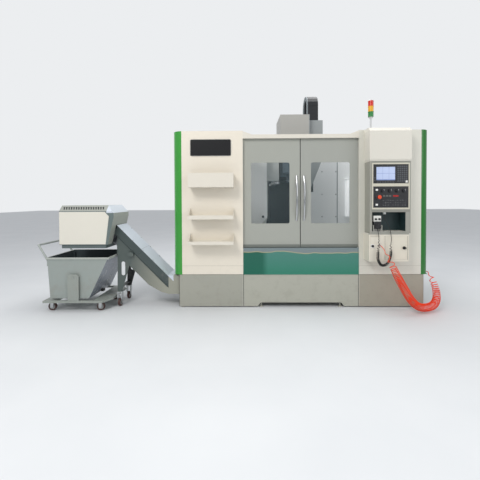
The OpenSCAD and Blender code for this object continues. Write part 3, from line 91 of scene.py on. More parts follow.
def coil(route, envelope, tube, thin, pitch, bend, per_turn=16):
    """The line of a tube wound inside the envelope round the route; in a thin envelope it runs straight.

    Turns narrower than the bend are drawn out, to bend less tightly."""
    line, phase, normal = [], 0.0, None
    for k in range(len(route) - 1):
        a, b = route[k], route[k + 1]
        ahead = (route[min(k + 2, len(route) - 1)] - route[max(k - 1, 0)]).normalized()
        if normal is None:
            normal = ahead.cross(Vector((0.05, 1, 0.02))).normalized()
        normal = (normal - ahead * normal.dot(ahead)).normalized()
        side = ahead.cross(normal)
        step = (b - a).length
        rises = [min(1, max(0, envelope[k + i] / thin - 1) / 2) for i in (0, 1)]
        swings = [(envelope[k + i] - tube) * rises[i] ** 2 * (3 - 2 * rises[i]) for i in (0, 1)]
        middle = sum(swings) / 2
        here = max(pitch(k / (len(route) - 1)), 2 * math.pi * math.sqrt(max(0, middle * (bend - middle))))
        cuts = max(1, math.ceil(step / here * per_turn)) if max(swings) > 0 else 1
        for c in range(cuts):
            t = c / cuts
            turn = phase + 2 * math.pi * step * t / here
            swing = swings[0] * (1 - t) + swings[1] * t
            line.append(a.lerp(b, t) + (normal * math.cos(turn) + side * math.sin(turn)) * swing)
        if max(swings) > 0:
            phase += 2 * math.pi * step / here
    return line + [route[-1]]


def cord(name, line, radius):
    """A tube along the line, as a mesh."""
    data = bpy.data.curves.new(name, "CURVE")
    data.dimensions = "3D"
    data.bevel_depth = radius
    data.bevel_resolution = 2
    data.use_fill_caps = True
    strand = data.splines.new("POLY")
    strand.points.add(len(line) - 1)
    for point, place in zip(strand.points, line):
        point.co = (*place, 1)
    strand.use_smooth = True
    tube = bpy.data.objects.new(name, data)
    scene.collection.objects.link(tube)
    bpy.ops.object.select_all(action="DESELECT")
    bpy.context.view_layer.objects.active = tube
    tube.select_set(True)
    bpy.ops.object.convert(target="MESH")
    bpy.ops.object.shade_smooth()
    return bpy.context.object, sum((b - a).length for a, b in zip(line, line[1:]))


LEAD_POINTS = [
    (902, -1048, 1008), (902, -1055, 1001), (902, -1062, 994), (900, -1092, 950), (894, -1115, 835),
    (884, -1115, 730), (888, -1115, 640), (930, -1115, 580), (985, -1115, 590), (1025, -1115, 660),
    (1038, -1115, 740), (1034, -1115, 805), (1046, -1108, 880), (1048, -1085, 970), (1030, -1040, 1080),
    (1004, -1010, 1150), (1004, -1010, 1172), (1004, -1010, 1189.7)]
LEAD_RADII = [4, 4, 4, 4, 12, 17, 17, 17, 17, 17, 17, 12, 4, 4, 4, 4, 4, 4]
HOSE_POINTS = [
    (915, -1100, 815), (915, -1112, 815), (915, -1125, 815), (922, -1175, 790), (960, -1200, 700),
    (1010, -1205, 600), (1085, -1200, 450), (1165, -1190, 310), (1250, -1175, 180), (1350, -1150, 95),
    (1470, -1110, 70), (1580, -1060, 85), (1660, -990, 140), (1690, -930, 230), (1685, -870, 330),
    (1690, -790, 400), (1658, -725, 430), (1644, -725, 430), (1630.3, -725, 430)]
HOSE_RADII = [6, 6, 6, 7, 24, 38, 46, 48, 48, 48, 48, 48, 46, 44, 38, 20, 6, 6, 6]


def hose_pitch(s):
    """Wide turns near the coupling, close ones along the bottom, wider again where the coil rises."""
    return 0.021 + 0.012 * max(0, 1 - s * 3) + 0.012 * max(0, s * 3 - 2)


route, radii = spline(LEAD_POINTS, LEAD_RADII, 12)
lead_line = coil(route, radii, LEAD_WIDE / 2, LEAD_STRAIGHT, lambda s: LEAD_PITCH, LEAD_BEND)
lead, lead_length = cord("pendant_lead_curl", lead_line, LEAD_WIDE / 2)
route, radii = spline(HOSE_POINTS, HOSE_RADII, 12)
hose_line = coil(route, radii, HOSE_WIDE / 2, HOSE_STRAIGHT, hose_pitch, HOSE_BEND)
hose, hose_length = cord("air_hose_coil", hose_line, HOSE_WIDE / 2)

for tube, line, length, node, slot, wide in (
        (lead, lead_line, lead_length, "pendant_lead", "cord_black", LEAD_WIDE),
        (hose, hose_line, hose_length, "air_hose", "hose", HOSE_WIDE)):
    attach(tube, "machine")
    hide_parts(node)


# Finishes
class Value:
    """A socket of a finish that Python's own signs calculate with."""

    def __init__(self, finish, socket):
        self.finish = finish
        self.socket = socket

    def math(self, operation, *others):
        node = self.finish.tree.nodes.new("ShaderNodeMath")
        node.operation = operation
        for socket, value in zip(node.inputs, (self, *others)):
            self.finish.feed(socket, value)
        return Value(self.finish, node.outputs[0])

    def __add__(self, other):
        return self.math("ADD", other)

    def __sub__(self, other):
        return self.math("SUBTRACT", other)

    def __rsub__(self, other):
        return self.math("MULTIPLY", -1).math("ADD", other)

    def __mul__(self, other):
        return self.math("MULTIPLY", other)

    def __gt__(self, other):
        return self.math("GREATER_THAN", other)

    def __lt__(self, other):
        return self.math("LESS_THAN", other)

    def __mod__(self, other):
        return self.math("FLOORED_MODULO", other)

    def clamped(self):
        return self.math("MAXIMUM", 0).math("MINIMUM", 1)

    __rmul__ = __mul__


class Finish:
    """One material: a Principled shader and the nodes that feed it."""

    def __init__(self, name):
        self.material = bpy.data.materials.new(name)
        self.material.use_nodes = True
        self.tree = self.material.node_tree
        self.shader = self.tree.nodes["Principled BSDF"]
        self.place = self.node("ShaderNodeTexCoord", out="Object")
        split = self.node("ShaderNodeSeparateXYZ", Vector=self.place).socket.node
        self.x, self.y, self.z = (Value(self, s) for s in split.outputs)

    def feed(self, socket, value):
        if isinstance(value, Value):
            self.tree.links.new(value.socket, socket)
        elif isinstance(value, (tuple, list)) and len(value) == 3 and socket.type == "RGBA":
            socket.default_value = (*value, 1)
        else:
            socket.default_value = value

    def node(self, kind, settings=None, out=0, **sockets):
        node = self.tree.nodes.new(kind)
        for key, value in (settings or {}).items():
            setattr(node, key, value)
        for key, value in sockets.items():
            self.feed(node.inputs[key.replace("_", " ")], value)
        return Value(self, node.outputs[out])

    def noise(self, scale, detail=3, rough=0.55, at=None):
        return self.node("ShaderNodeTexNoise", Vector=at or self.place,
                         Scale=scale, Detail=detail, Roughness=rough)

    def mix(self, factor, first, second):
        node = self.tree.nodes.new("ShaderNodeMix")
        node.data_type = "RGBA"
        for index, value in ((0, factor), (6, first), (7, second)):
            self.feed(node.inputs[index], value)
        return Value(self, node.outputs[2])

    def zone(self, x=None, y=None, z=None):
        """1 inside the ranges given in millimetres, 0 outside."""
        mask = None
        for axis, span in ((self.x, x), (self.y, y), (self.z, z)):
            if span:
                for test in (axis > span[0] * MM, axis < span[1] * MM):
                    mask = test if mask is None else mask * test
        return mask

    def stretched(self, x, y, z):
        return self.node("ShaderNodeMapping", Vector=self.place, Scale=(x, y, z))

    def bump(self, height, distance=0.0005, strength=0.5):
        return self.node("ShaderNodeBump", Height=height, Distance=distance, Strength=strength)

    def set(self, **sockets):
        for key, value in sockets.items():
            self.feed(self.shader.inputs[key.replace("_", " ")], value)
        return self.material


def linear(r, g, b):
    """Screen colour 0-255 as the shader's own scale."""
    channels = (r / 255, g / 255, b / 255)
    return tuple(c / 12.92 if c <= 0.04045 else ((c + 0.055) / 1.055) ** 2.4 for c in channels)


def surface(name, colour, rough=0.42, shine=0.0, grain=260, dust=0.2, zones=(), brushed=None, glow=None):
    """A coat, plastic or metal: grain, faint clouding, dust near the floor and zones of other finishes."""
    f = Finish(name)
    peel = f.noise(grain, 2) if brushed is None else f.noise(1, 3, 0.6, f.stretched(*brushed))
    body, gloss = linear(*colour), rough
    for where, other, its_rough, its_shine in zones:
        mask = where(f) if callable(where) else f.zone(**where)
        body = f.mix(mask, body, linear(*other))
        gloss = (its_rough - gloss) * mask + gloss
        shine = (its_shine - shine) * mask + shine if its_shine != shine else shine
    spread = 0.05 if brushed is None else 0.16
    body = f.mix(f.noise(1.7, 3) * 0.5 + peel * 0.5, f.mix(spread, body, (0.05, 0.05, 0.045)), body)
    marks = ((f.noise(9, 5, 0.7) - 0.5) * 6).clamped() * (1 - f.z * 1.4).clamped() * dust
    body = f.mix(marks, body, linear(140, 136, 124))
    if glow:
        where, light, strength = glow
        f.set(Emission_Color=f.mix(where(f), (0, 0, 0), linear(*light)), Emission_Strength=strength)
    return f.set(Base_Color=body, Roughness=(peel * 0.12 + gloss) + marks * 0.25 - 0.06, Metallic=shine,
                 Normal=f.bump(peel, 0.0002, 0.45))


CREAM, STEEL, BLACK, WHITE = (232, 224, 209), (196, 198, 200), (20, 21, 24), (240, 239, 234)
LAMP_LIGHT = (250, 252, 255)

# Lines that part the zones of the incline (metres of x + z), the head's vents and the tub's slope
COVER_LINE, RIB_LINE, OVERLAP = -1.3175, -1.468, 0.0001
VENT_LINE = 2.2392
TUB_SLOPE, TUB_LINE = 0.4843, -2.7297


def side_sheets(f):
    """The dark sheets between the cover and the rib of the incline."""
    rise = f.x + f.z
    return (rise < COVER_LINE) * (rise > RIB_LINE) * (f.x < -1.705)


def lower_side(f):
    """The side below the rib, darker towards the top of the incline."""
    return (f.x + f.z < RIB_LINE + OVERLAP) * ((-1.75 - f.x) * 2.2).clamped() * (f.z > 0.19)


def cover(f):
    """The cover along the top of the incline, lighter and bluish: a painted highlight on its face turned up
    to the light.
    """
    return (f.x + f.z > COVER_LINE - OVERLAP) * (f.x < -1.64) * (f.z > 0.3)


def cover_joint(f):
    """The line where two cover sheets meet."""
    return cover(f) * ((f.x - f.z + 2.798).math("ABSOLUTE") < 0.0018)


def vent_shade(f):
    """The dark inside of the discharge head behind its vents."""
    return (f.z - f.y < VENT_LINE) * f.zone(x=(-3036.5, -2440.5), y=(-999.5, 900), z=(830, 1312))


# The inside of the tub, darkened with painted shade.
def tub_inside_shade(f):
    slope = (f.x - f.z * TUB_SLOPE < TUB_LINE) * (f.x + f.z * 0.0667 > -3.1239)
    return slope * f.zone(y=(-1038.5, -391.5), z=(159.5, 666.5))


# The sloped end, bluish and lighter: a painted sheen.
def tub_slope_sheen(f):
    return (f.x - f.z * TUB_SLOPE > TUB_LINE) * f.zone(x=(-2660, -2404), y=(-1040, -389), z=(158, 645))


def lamp_tube(f):
    return f.zone(x=(1060, 1130), y=(620, 692), z=(1080, 1720))


def screen(f):
    return f.zone(x=(884, 1112), y=(-1062, -1040), z=(1604, 1767))


def screen_lines(f):
    lines = ((f.z - 1.604) % 0.0815 < 0.004) + ((f.x - 0.884) % 0.076 < 0.003) + f.zone(z=(1604, 1618))
    return screen(f) * lines.clamped() * 0.8


def strips(colour, rough, *places):
    """Zones of one colour."""
    return [(place, colour, rough, 0) for place in places]


SEAM = dict(y=(-902, -898), z=(531.5, 534.5))
DOOR_ZONES = [(dict(y=(-930, -858.5)), STEEL, 0.12, 1), (dict(z=(760, 800)), (120, 124, 118), 0.4, 0)]

finishes = {
    "bed": surface("bed_casting", (150, 154, 150), 0.5, grain=90),
    "saddle": surface("saddle_casting", (104, 110, 112), 0.5, grain=90,
        zones=[(dict(z=(690, 830), y=(-150, 150)), STEEL, 0.3, 1)]),
    "column": surface("column_casting", (176, 182, 180), 0.5, grain=90, zones=[
        (dict(y=(300, 800), z=(560, 2100)), (26, 31, 36), 0.45, 0)]),
    "spindle_head": surface("head_casting", (98, 112, 122), 0.45, grain=90, zones=[
        (dict(y=(200, 800), z=(1330, 2200)), (24, 29, 34), 0.4, 0),
        (dict(z=(2200, 2570)), (44, 46, 50), 0.4, 0)]),
    "magazine_frame": surface("magazine_paint", (196, 200, 198), 0.4),
    "magazine_disc": surface("pot_plastic", (60, 63, 68), 0.4,
        zones=[(dict(y=(-200, 200), z=(1700, 2100)), (150, 154, 158), 0.35, 1)]),
    "axis_motors": surface("motor_coat", (34, 35, 38), 0.45),
    "head_cover": surface("head_cover_coat", (172, 171, 166), 0.4,
        zones=[(dict(x=(240, 480)), (152, 157, 158), 0.4, 0)]),
    "cable_chain": surface("chain_plastic", (22, 24, 29), 0.4,
        zones=[(dict(x=(250, 268)), (120, 128, 132), 0.4, 0)]),
    "plinth": surface("plinth_coat", (175, 175, 163), 0.42, dust=0.35, zones=[
        # the right section's darker tone is a painted shadow of the control cabinet
        (dict(x=(-1700, -730)), (164, 164, 153), 0.42, 0), (dict(x=(730, 1700)), (162, 157, 143), 0.42, 0),
        *strips((206, 206, 196), 0.4, dict(x=(-741, -736), y=(-900, -893)),
            dict(x=(736, 741), y=(-900, -893))),
        *strips((84, 84, 78), 0.5, dict(x=(-736, -727), y=(-900, -880)),
            dict(x=(727, 736), y=(-900, -880)))]),
    "left_column": surface("column_cream", CREAM, 0.38, zones=[(SEAM, (190, 184, 168), 0.5, 0)]),
    # The right column's darker cream is painted shade.
    "right_column": surface("column_cream_painted_shade", (216, 214, 203), 0.38, zones=[
        (SEAM, (184, 181, 168), 0.5, 0)]),
    "door_lintel": surface("lintel_cream", (224, 219, 207), 0.38),
    # The left trim's lighter green is a painted highlight and the right trim's darker green is painted shade.
    "corner_trims": surface("green_gloss", (56, 152, 56), 0.25, zones=[
        (dict(x=(-1700, -1606)), (96, 176, 96), 0.25, 0), (dict(x=(1500, 1700)), (26, 112, 34), 0.25, 0)]),
    "left_door": surface("door_coat_left", (166, 168, 160), 0.36, zones=[
        (dict(x=(-5, 0)), (50, 52, 52), 0.5, 0), *DOOR_ZONES]),
    "right_door": surface("door_coat_right", (163, 165, 158), 0.36, zones=[
        (dict(x=(0, 5)), (50, 52, 52), 0.5, 0), *DOOR_ZONES]),
    "side_panels": surface("inner_coat", (204, 206, 197), 0.4, glow=(lamp_tube, LAMP_LIGHT, 0.35), zones=[
        (dict(x=(-1596, 1596), y=(-795, 699.9)), (252, 254, 254), 0.4, 0),
        (dict(x=(1060, 1130), y=(620, 692), z=(1060, 1740)), (248, 250, 250), 0.3, 0),
        (dict(x=(922, 936), y=(690, 699.5)), (70, 84, 86), 0.5, 0),
        (dict(x=(-1700, -1600)), (200, 203, 192), 0.4, 0), (dict(x=(1600, 1700)), (200, 203, 192), 0.4, 0)]),
    "tool_shelves": surface("shelf_cream", (226, 220, 207), 0.38),
    "name_plate": surface("plate_black", (14, 14, 17), 0.22, zones=[
        *strips((150, 150, 146), 0.3, dict(x=(-1403, -1398)), dict(x=(-888, -883)),
                dict(z=(2139, 2144)), dict(z=(1932, 1937)))]),
    "signal_tower": surface("tower", STEEL, 0.3, 0, zones=[
        (dict(z=(2430, 2500)), (44, 128, 62), 0.2, 0), (dict(z=(2500, 2570)), (228, 168, 34), 0.2, 0),
        (dict(z=(2570, 2640)), (206, 44, 34), 0.2, 0)]),
    "control_housing": surface("housing_cream", (219, 215, 204), 0.38, zones=[
        (dict(z=(600, 945)), (225, 219, 204), 0.38, 0), (dict(z=(2205, 2260)), (230, 226, 215), 0.38, 0),
        (dict(z=(945, 1840), y=(-1080, -1058)), (154, 154, 145), 0.4, 0),
        (dict(z=(945, 1834), x=(800, 831)), (156, 155, 145), 0.4, 0),
        (dict(z=(1217, 1840), x=(826, 1290), y=(-1064, -1020)), (138, 138, 130), 0.4, 0),
        (dict(z=(984, 1217), x=(833, 1239), y=(-1059, -890)), (30, 52, 54), 0.45, 0),
        (dict(z=(984, 1062), x=(846, 958), y=(-1055, -960)), WHITE, 0.35, 0),
        (dict(z=(770, 850), x=(800, 870), y=(-1120, -1070.6)), BLACK, 0.4, 0),
        (dict(z=(770, 850), x=(890, 940), y=(-1120, -1070.6)), STEEL, 0.25, 1),
        (dict(z=(1188, 1220), x=(988, 1020), y=(-1026, -994)), (206, 210, 208), 0.4, 0),
        # a painted shadow below the frame, along the top of the lower cabinet
        (dict(z=(914, 938), x=(806, 925), y=(-1070.2, -1068)), (204, 198, 182), 0.4, 0)]),
    "display_unit": surface("display_plastic", (26, 27, 31), 0.4, grain=700, zones=[
        (screen, (186, 200, 234), 0.15, 0), (screen_lines, (120, 140, 196), 0.2, 0),
        (dict(y=(-1067, -1062.5)), (74, 77, 83), 0.4, 0),
        (dict(x=(1236, 1262), z=(1575, 1600), y=(-1080, -1060)), WHITE, 0.4, 0)]),
    "operator_panel": surface("panel_plastic", (30, 31, 35), 0.4, grain=700, zones=[
        (dict(x=(1086, 1152), z=(1404, 1424), y=(-1064, -1030)), (170, 30, 26), 0.2, 0),
        (dict(y=(-1066, -1062.4), x=(960, 1080), z=(1400, 1430)), (92, 92, 90), 0.4, 0),
        (dict(y=(-1066, -1062.4), z=(1286, 1372)), (46, 48, 54), 0.4, 0),
        (dict(y=(-1100, -1072)), (50, 52, 57), 0.4, 0)]),
    "hand_pendant": surface("pendant_plastic", (34, 35, 38), 0.45, grain=700, zones=[
        (dict(z=(1104, 1180)), (228, 228, 222), 0.4, 0),
        (dict(z=(1104, 1180), y=(-1090, -1055.2)), (30, 31, 34), 0.4, 0)]),
    "pendant_dial": surface("dial_plastic", (28, 29, 32), 0.35, grain=700,
        zones=[(dict(y=(-1079, -1075)), (70, 72, 76), 0.3, 0)]),
    "emergency_stop": surface("stop_red", (226, 74, 34), 0.3,
        zones=[(dict(y=(-1062, -1030)), (228, 196, 60), 0.35, 0)]),
    "start_button": surface("button_white", WHITE, 0.3),
    "stop_button": surface("button_white_stop", WHITE, 0.3),
    "lower_door": surface("cabinet_door", (222, 216, 200), 0.38, zones=[
        *strips((132, 128, 116), 0.5, dict(x=(986, 989.5)), dict(x=(1259, 1264)),
                dict(z=(630, 634)), dict(z=(932, 936))),
        (dict(y=(-1092, -1072.5)), BLACK, 0.35, 0)]),
    "electrical_cabinet": surface("cabinet_coat", (214, 214, 204), 0.42),
    "electrical_door": surface("cabinet_door_rear", (208, 208, 198), 0.42,
        zones=[(dict(y=(1516, 1540)), (44, 46, 50), 0.4, 0)]),
    "chip_conveyor": surface("conveyor_paint", (156, 156, 143), 0.35, dust=0.4, zones=[
        (side_sheets, (66, 77, 76), 0.3, 0), (lower_side, (82, 92, 89), 0.35, 0),
        # the cover's pale bluish colour is a painted highlight
        (cover, (208, 216, 227), 0.3, 0), (cover_joint, (128, 136, 142), 0.4, 0),
        (dict(x=(-2420, -2240), y=(-700, -480), z=(190, 700)), (34, 38, 40), 0.4, 0),
        (dict(x=(-2400, -2280), z=(20, 190)), STEEL, 0.2, 1)]),
    "discharge_head": surface("discharge_paint", (160, 163, 156), 0.35, zones=[
        # the darker front face beside the white plate is painted shade
        (dict(y=(-1000.2, -999)), (104, 117, 116), 0.35, 0), (dict(z=(1312, 1320)), (190, 195, 192), 0.35, 0),
        (lambda f: (f.x > -2.4405) * (f.z > 1.2185), (208, 215, 224), 0.3, 0),
        (vent_shade, (44, 50, 50), 0.6, 0), (dict(y=(-1010, -1000.2)), (227, 223, 211), 0.35, 0)]),
    "cart_frame": surface("cart_paint", (150, 156, 150), 0.4, dust=0.5,
        zones=[(dict(z=(30, 108)), STEEL, 0.3, 1)]),
    "cart_tub": surface("tub_paint", (152, 160, 156), 0.38, dust=0.5, zones=[
        # the lighter band along the rim is a painted highlight; the darker inside is painted shade
        (dict(z=(646, 669)), (176, 181, 174), 0.35, 0), (tub_inside_shade, (66, 76, 80), 0.5, 0),
        (tub_slope_sheen, (150, 156, 168), 0.25, 0.2),
        (dict(x=(-3400, -3176), z=(560, 900)), (170, 176, 172), 0.35, 0),
        (dict(x=(-2645, -2600), y=(-745, -685), z=(157, 190)), (16, 17, 18), 0.4, 0)]),
}
for name in ("levelling_feet", "base_rails", "y_screw", "z_screw", "x_screw", "table", "way_cover_left_1",
             "way_cover_left_2", "way_cover_right_1", "way_cover_right_2", "spindle", "change_arm",
             "conveyor_belt"):
    finishes[name] = surface(name + "_steel", (184, 188, 192), 0.32, 1, brushed=(400, 8, 400))
finishes["z_cover_mid"] = surface("z_cover_steel", (34, 38, 44), 0.4, 0.3, brushed=(8, 400, 400))


def wheel_finish(name, along, middle):
    """A brown tread round a pale hub."""
    def hub(f):
        across = (f.x if along == "y" else f.y) - middle * MM
        return (across * across + (f.z - 0.05) * (f.z - 0.05)) < 0.034 ** 2
    return surface(name, (72, 44, 40), 0.5, dust=0.3, zones=[(hub, (150, 154, 152), 0.4, 0)])


for name, along, middle in (("cart_wheel_front_left", "y", -3130), ("cart_wheel_back_left", "y", -3130),
                            ("cart_wheel_front_right", "y", -2520), ("cart_wheel_back_right", "y", -2520),
                            ("conveyor_wheel_front", "x", -834), ("conveyor_wheel_rear", "x", -516)):
    finishes[name] = wheel_finish(name, along, middle)


def sill_painted_reflection():
    """Polished steel whose green cast, darker at the left, is a painted reflection of a green floor; a pale
    wavering band runs near its top.
    """
    f = Finish("mirror_steel")
    wave = f.noise(2.6, 2, 0.5, f.stretched(1, 1, 0.3))
    height = f.z + wave * 0.11
    top = ((height - 0.752) * 90).clamped()
    line = (1 - (height - 0.757).math("ABSOLUTE") * 110).clamped()
    left = ((-0.42 - f.x) * 14).clamped()
    green_reflection = f.mix((f.z * 3.2 - 1.4).clamped(), linear(62, 134, 112), linear(92, 144, 134))
    body = f.mix(line * 0.8,
                 f.mix(top, f.mix(left * 0.8, green_reflection, linear(34, 98, 80)), linear(138, 150, 152)),
                 linear(206, 190, 150))
    brush = f.noise(1, 3, 0.6, f.stretched(6, 300, 300))
    return f.set(Base_Color=body, Metallic=0.7, Roughness=brush * 0.08 + 0.16,
                 Normal=f.bump(brush, 0.00005, 0.2))


def glass():
    f = Finish("window_glass")
    streak = f.noise(2.2, 3, 0.6, f.stretched(1, 1, 0.5))
    return f.set(Base_Color=f.mix(streak, linear(110, 130, 136), linear(150, 168, 172)),
                 Roughness=f.noise(40, 2) * 0.03 + 0.02, Alpha=streak * 0.05 + 0.05, IOR=1.45)


def hose_finish():
    f = Finish("orange_hose")
    # Above 0.45 m the orange turns paler: a painted highlight on the upper coils.
    near = ((f.z - 0.45) * 3.2).clamped()
    body = f.mix(f.noise(14, 2), linear(238, 50, 16), linear(250, 78, 36))
    f.shader.inputs["Specular IOR Level"].default_value = 0.25
    return f.set(Base_Color=f.mix(near * 0.75, body, linear(226, 122, 92)),
                 Roughness=f.noise(60, 2) * 0.1 + 0.3)


finishes["sill_panel"] = sill_painted_reflection()
finishes["left_window"] = finishes["right_window"] = glass()
finishes["air_hose"] = hose_finish()
finishes["pendant_lead"] = surface("rubber_sheath", (18, 18, 20), 0.5, grain=900)
for name, piece in (*nodes.items(), ("air_hose", hose), ("pendant_lead", lead)):
    piece.data.materials.clear()
    piece.data.materials.append(finishes[name])


# Small parts
def start(kind, **settings):
    bpy.ops.object.select_all(action="DESELECT")
    getattr(bpy.ops.mesh, kind)(**settings)
    return bpy.context.object


def faces(piece, test):
    """Edit mode with just those faces picked whose middle and normal pass the test."""
    bpy.ops.object.mode_set(mode="OBJECT")
    for part in (piece.data.vertices, piece.data.edges):
        part.foreach_set("select", [False] * len(part))
    for face in piece.data.polygons:
        face.select = bool(test(face.center, face.normal))
    bpy.ops.object.mode_set(mode="EDIT")
    bpy.ops.mesh.select_mode(type="FACE")


def finish_piece(piece, name, body, finish):
    bpy.ops.object.mode_set(mode="OBJECT")
    bpy.ops.object.transform_apply(location=True, rotation=True, scale=True)
    bpy.ops.object.shade_smooth_by_angle(angle=math.radians(35))
    piece.name = name
    piece.data.materials.append(finish)
    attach(piece, body)
    return piece


def slab(name, body, finish, x, y, z, bevel):
    """A block with bevelled edges between the given millimetres."""
    low, high = (Vector([side[k] * MM for side in (x, y, z)]) for k in (0, 1))
    piece = start("primitive_cube_add", size=1, location=(low + high) / 2, scale=high - low)
    bpy.ops.object.transform_apply(location=True, rotation=True, scale=True)
    edge = piece.modifiers.new("edge", "BEVEL")
    edge.width = bevel * MM
    edge.segments = 2
    edge.limit_method = "ANGLE"
    bpy.ops.object.modifier_apply(modifier=edge.name)
    return finish_piece(piece, name, body, finish)


def frame_plate(name, body, finish, x, y, z, holes):
    """A flat plate with rectangular openings, each outlined with cuts and taken out through the plate."""
    piece = start("primitive_cube_add", size=1, location=[(a + b) / 2 * MM for a, b in (x, y, z)],
                  scale=[(b - a) * MM for a, b in (x, y, z)])
    bpy.ops.object.transform_apply(location=True, rotation=True, scale=True)
    bpy.ops.object.mode_set(mode="EDIT")
    cuts = {(0, v) for hole in holes for v in hole[:2]} | {(2, v) for hole in holes for v in hole[2:]}
    for axis, value in sorted(cuts):
        bpy.ops.mesh.select_all(action="SELECT")
        at, way = [0, 0, 0], [0, 0, 0]
        at[axis], way[axis] = value * MM, 1
        bpy.ops.mesh.bisect(plane_co=at, plane_no=way)
    for left, right, bottom, top in holes:
        faces(piece, lambda c, n: (abs(n.y) > 0.9 and left * MM < c.x < right * MM
                                   and bottom * MM < c.z < top * MM))
        bpy.ops.mesh.bridge_edge_loops()
    bpy.ops.mesh.select_all(action="SELECT")
    bpy.ops.mesh.dissolve_limited(angle_limit=0.01)
    bpy.ops.object.mode_set(mode="OBJECT")
    return finish_piece(piece, name, body, finish)


def disc(name, body, finish, centre, radius, depth, dome=0.25, sides=24):
    """A round head facing the front, with a chamfered rim and a slightly sunk middle."""
    place = (centre[0] * MM, (centre[1] - depth / 2) * MM, centre[2] * MM)
    piece = start("primitive_cylinder_add", vertices=sides, radius=radius * MM, depth=depth * MM,
                  location=place, rotation=(math.pi / 2, 0, 0))
    bpy.ops.object.transform_apply(location=True, rotation=True, scale=True)
    faces(piece, lambda c, n: n.y < -0.9)
    bpy.ops.mesh.inset(thickness=radius * dome * MM)
    bpy.ops.transform.translate(value=(0, -depth * 0.3 * MM, 0))
    bpy.ops.mesh.inset(thickness=radius * 0.3 * MM)
    bpy.ops.transform.translate(value=(0, depth * 0.2 * MM, 0))
    return finish_piece(piece, name, body, finish)


def rim(name, centre, major, minor, finish, body):
    """A round ring facing the front."""
    ring = start("primitive_torus_add", major_radius=major * MM, minor_radius=minor * MM,
                 major_segments=40, minor_segments=10,
                 location=[v * MM for v in centre], rotation=(math.pi / 2, 0, 0))
    return finish_piece(ring, name, body, finish)


def copies(piece, name, places, body):
    """The same part again, each with its own mesh moved by the given millimetres."""
    for number, (dx, dy, dz) in enumerate(places, 2):
        twin = piece.copy()
        twin.data = piece.data.copy()
        scene.collection.objects.link(twin)
        twin.data.transform(Matrix.Translation((dx * MM, dy * MM, dz * MM)))
        twin.name = f"{name}_{number}"
        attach(twin, body)


pale = surface("bezel_plate", (205, 201, 184), 0.4)
greyed = surface("key_caps", (104, 108, 114), 0.4, grain=700)
black = surface("small_black", (18, 19, 22), 0.4, grain=700)
bright = surface("screw_steel", (170, 174, 178), 0.3, 1, brushed=(900, 900, 900))
white = surface("white_plate", WHITE, 0.35)


def console_marks():
    """The plate round both control units, the knobs' marks, the keys' lamps and the left lock's plate."""
    frame_plate("console_bezel", "machine", pale, (831, 1285), (-1066.9, -1062.1), (1251, 1815),
                [(845, 1271, 1565, 1798), (845, 1271, 1271, 1530)])
    mark = slab("knob_mark", "machine", white, (962.8, 965.2), (-1092.6, -1091.9), (1480, 1495), 0.2)
    copies(mark, "knob_mark", [(86, 0, 0), (172, 0, 0), (254, 0, 0)], "machine")
    lamp = slab("key_lamp", "machine", white, (965, 969), (-1065.6, -1064.9), (1302, 1305), 0.2)
    pitch, columns, rows = 29, 10, 3
    lit = [(pitch * i, 0, pitch * j) for i in range(columns) for j in range(rows)
           if (i or j) and (i * rows + j) % 4 != 1]
    copies(lamp, "key_lamp", lit, "machine")
    frame_plate("lock_plate", "machine", white, (815, 859), (-1072.4, -1070.1), (784, 828),
                [(825, 849, 794, 818)])


def sheet_screws():
    """Three rows up the inner side of the rear sheets."""
    for name, x in (("sheet_screw", 660), ("sheet_screw_right", 1190), ("sheet_screw_seam", 905)):
        head = disc(name, "machine", black, (x, 696.9, 1072), 9, 5)
        copies(head, name, [(0, 0, 395), (0, 0, 795)], "machine")


def wash_nozzle():
    """The swivel nozzle on the guard before the magazine."""
    disc("wash_nozzle_seat", "machine", black, (-446, -323.4, 1130), 17, 8)
    spout = start("primitive_cone_add", vertices=24, radius1=0.011, radius2=0.005, depth=0.034,
                  location=(-0.440, -0.344, 1.122), rotation=(math.radians(115), 0, math.radians(25)))
    finish_piece(spout, "wash_nozzle", "machine", black)


def cover_screws():
    """Two rows down the incline's cover."""
    lift, step, across = 0.0014, 130, -320
    screw = start("primitive_cylinder_add", vertices=16, radius=0.007, depth=0.004, rotation=(0, SLOPE, 0),
                  location=(-2.30 + lift, -0.515, 0.984 + lift))
    bpy.ops.object.transform_apply(location=True, rotation=True, scale=True)
    faces(screw, lambda c, n: n.x > 0.6 and n.z > 0.6)
    bpy.ops.mesh.inset(thickness=0.003)
    bpy.ops.transform.translate(value=(-0.001, 0, -0.001))
    finish_piece(screw, "cover_screw", "machine", bright)
    places = [(step * i, dy, -step * i) for i in range(5) for dy in (0, across) if i or dy]
    copies(screw, "cover_screw", places, "machine")


def vent_slot_shades():
    """Slanted dark blades over the vents in the sloped front of the discharge head: painted shade for the
    dark slots.
    """
    pitch, count = 31, 17
    slot_shade = start("primitive_cube_add", size=1, scale=(0.013, 0.0012, 0.046),
                   rotation=(0, math.radians(-24), 0))
    bpy.ops.object.transform_apply(location=True, rotation=True, scale=True)
    faces(slot_shade, lambda c, n: n.y < -0.9)
    bpy.ops.mesh.inset(thickness=0.002)
    bpy.ops.transform.translate(value=(0, 0.0006, 0))
    bpy.ops.object.mode_set(mode="OBJECT")
    slot_shade.rotation_euler = (-SLOPE, 0, 0)
    slot_shade.location = (-2.989, -0.9640, 1.2770)
    finish_piece(slot_shade, "vent_slot_shade", "machine", black)
    copies(slot_shade, "vent_slot_shade", [(pitch * i, 0, 0) for i in range(1, count)], "machine")


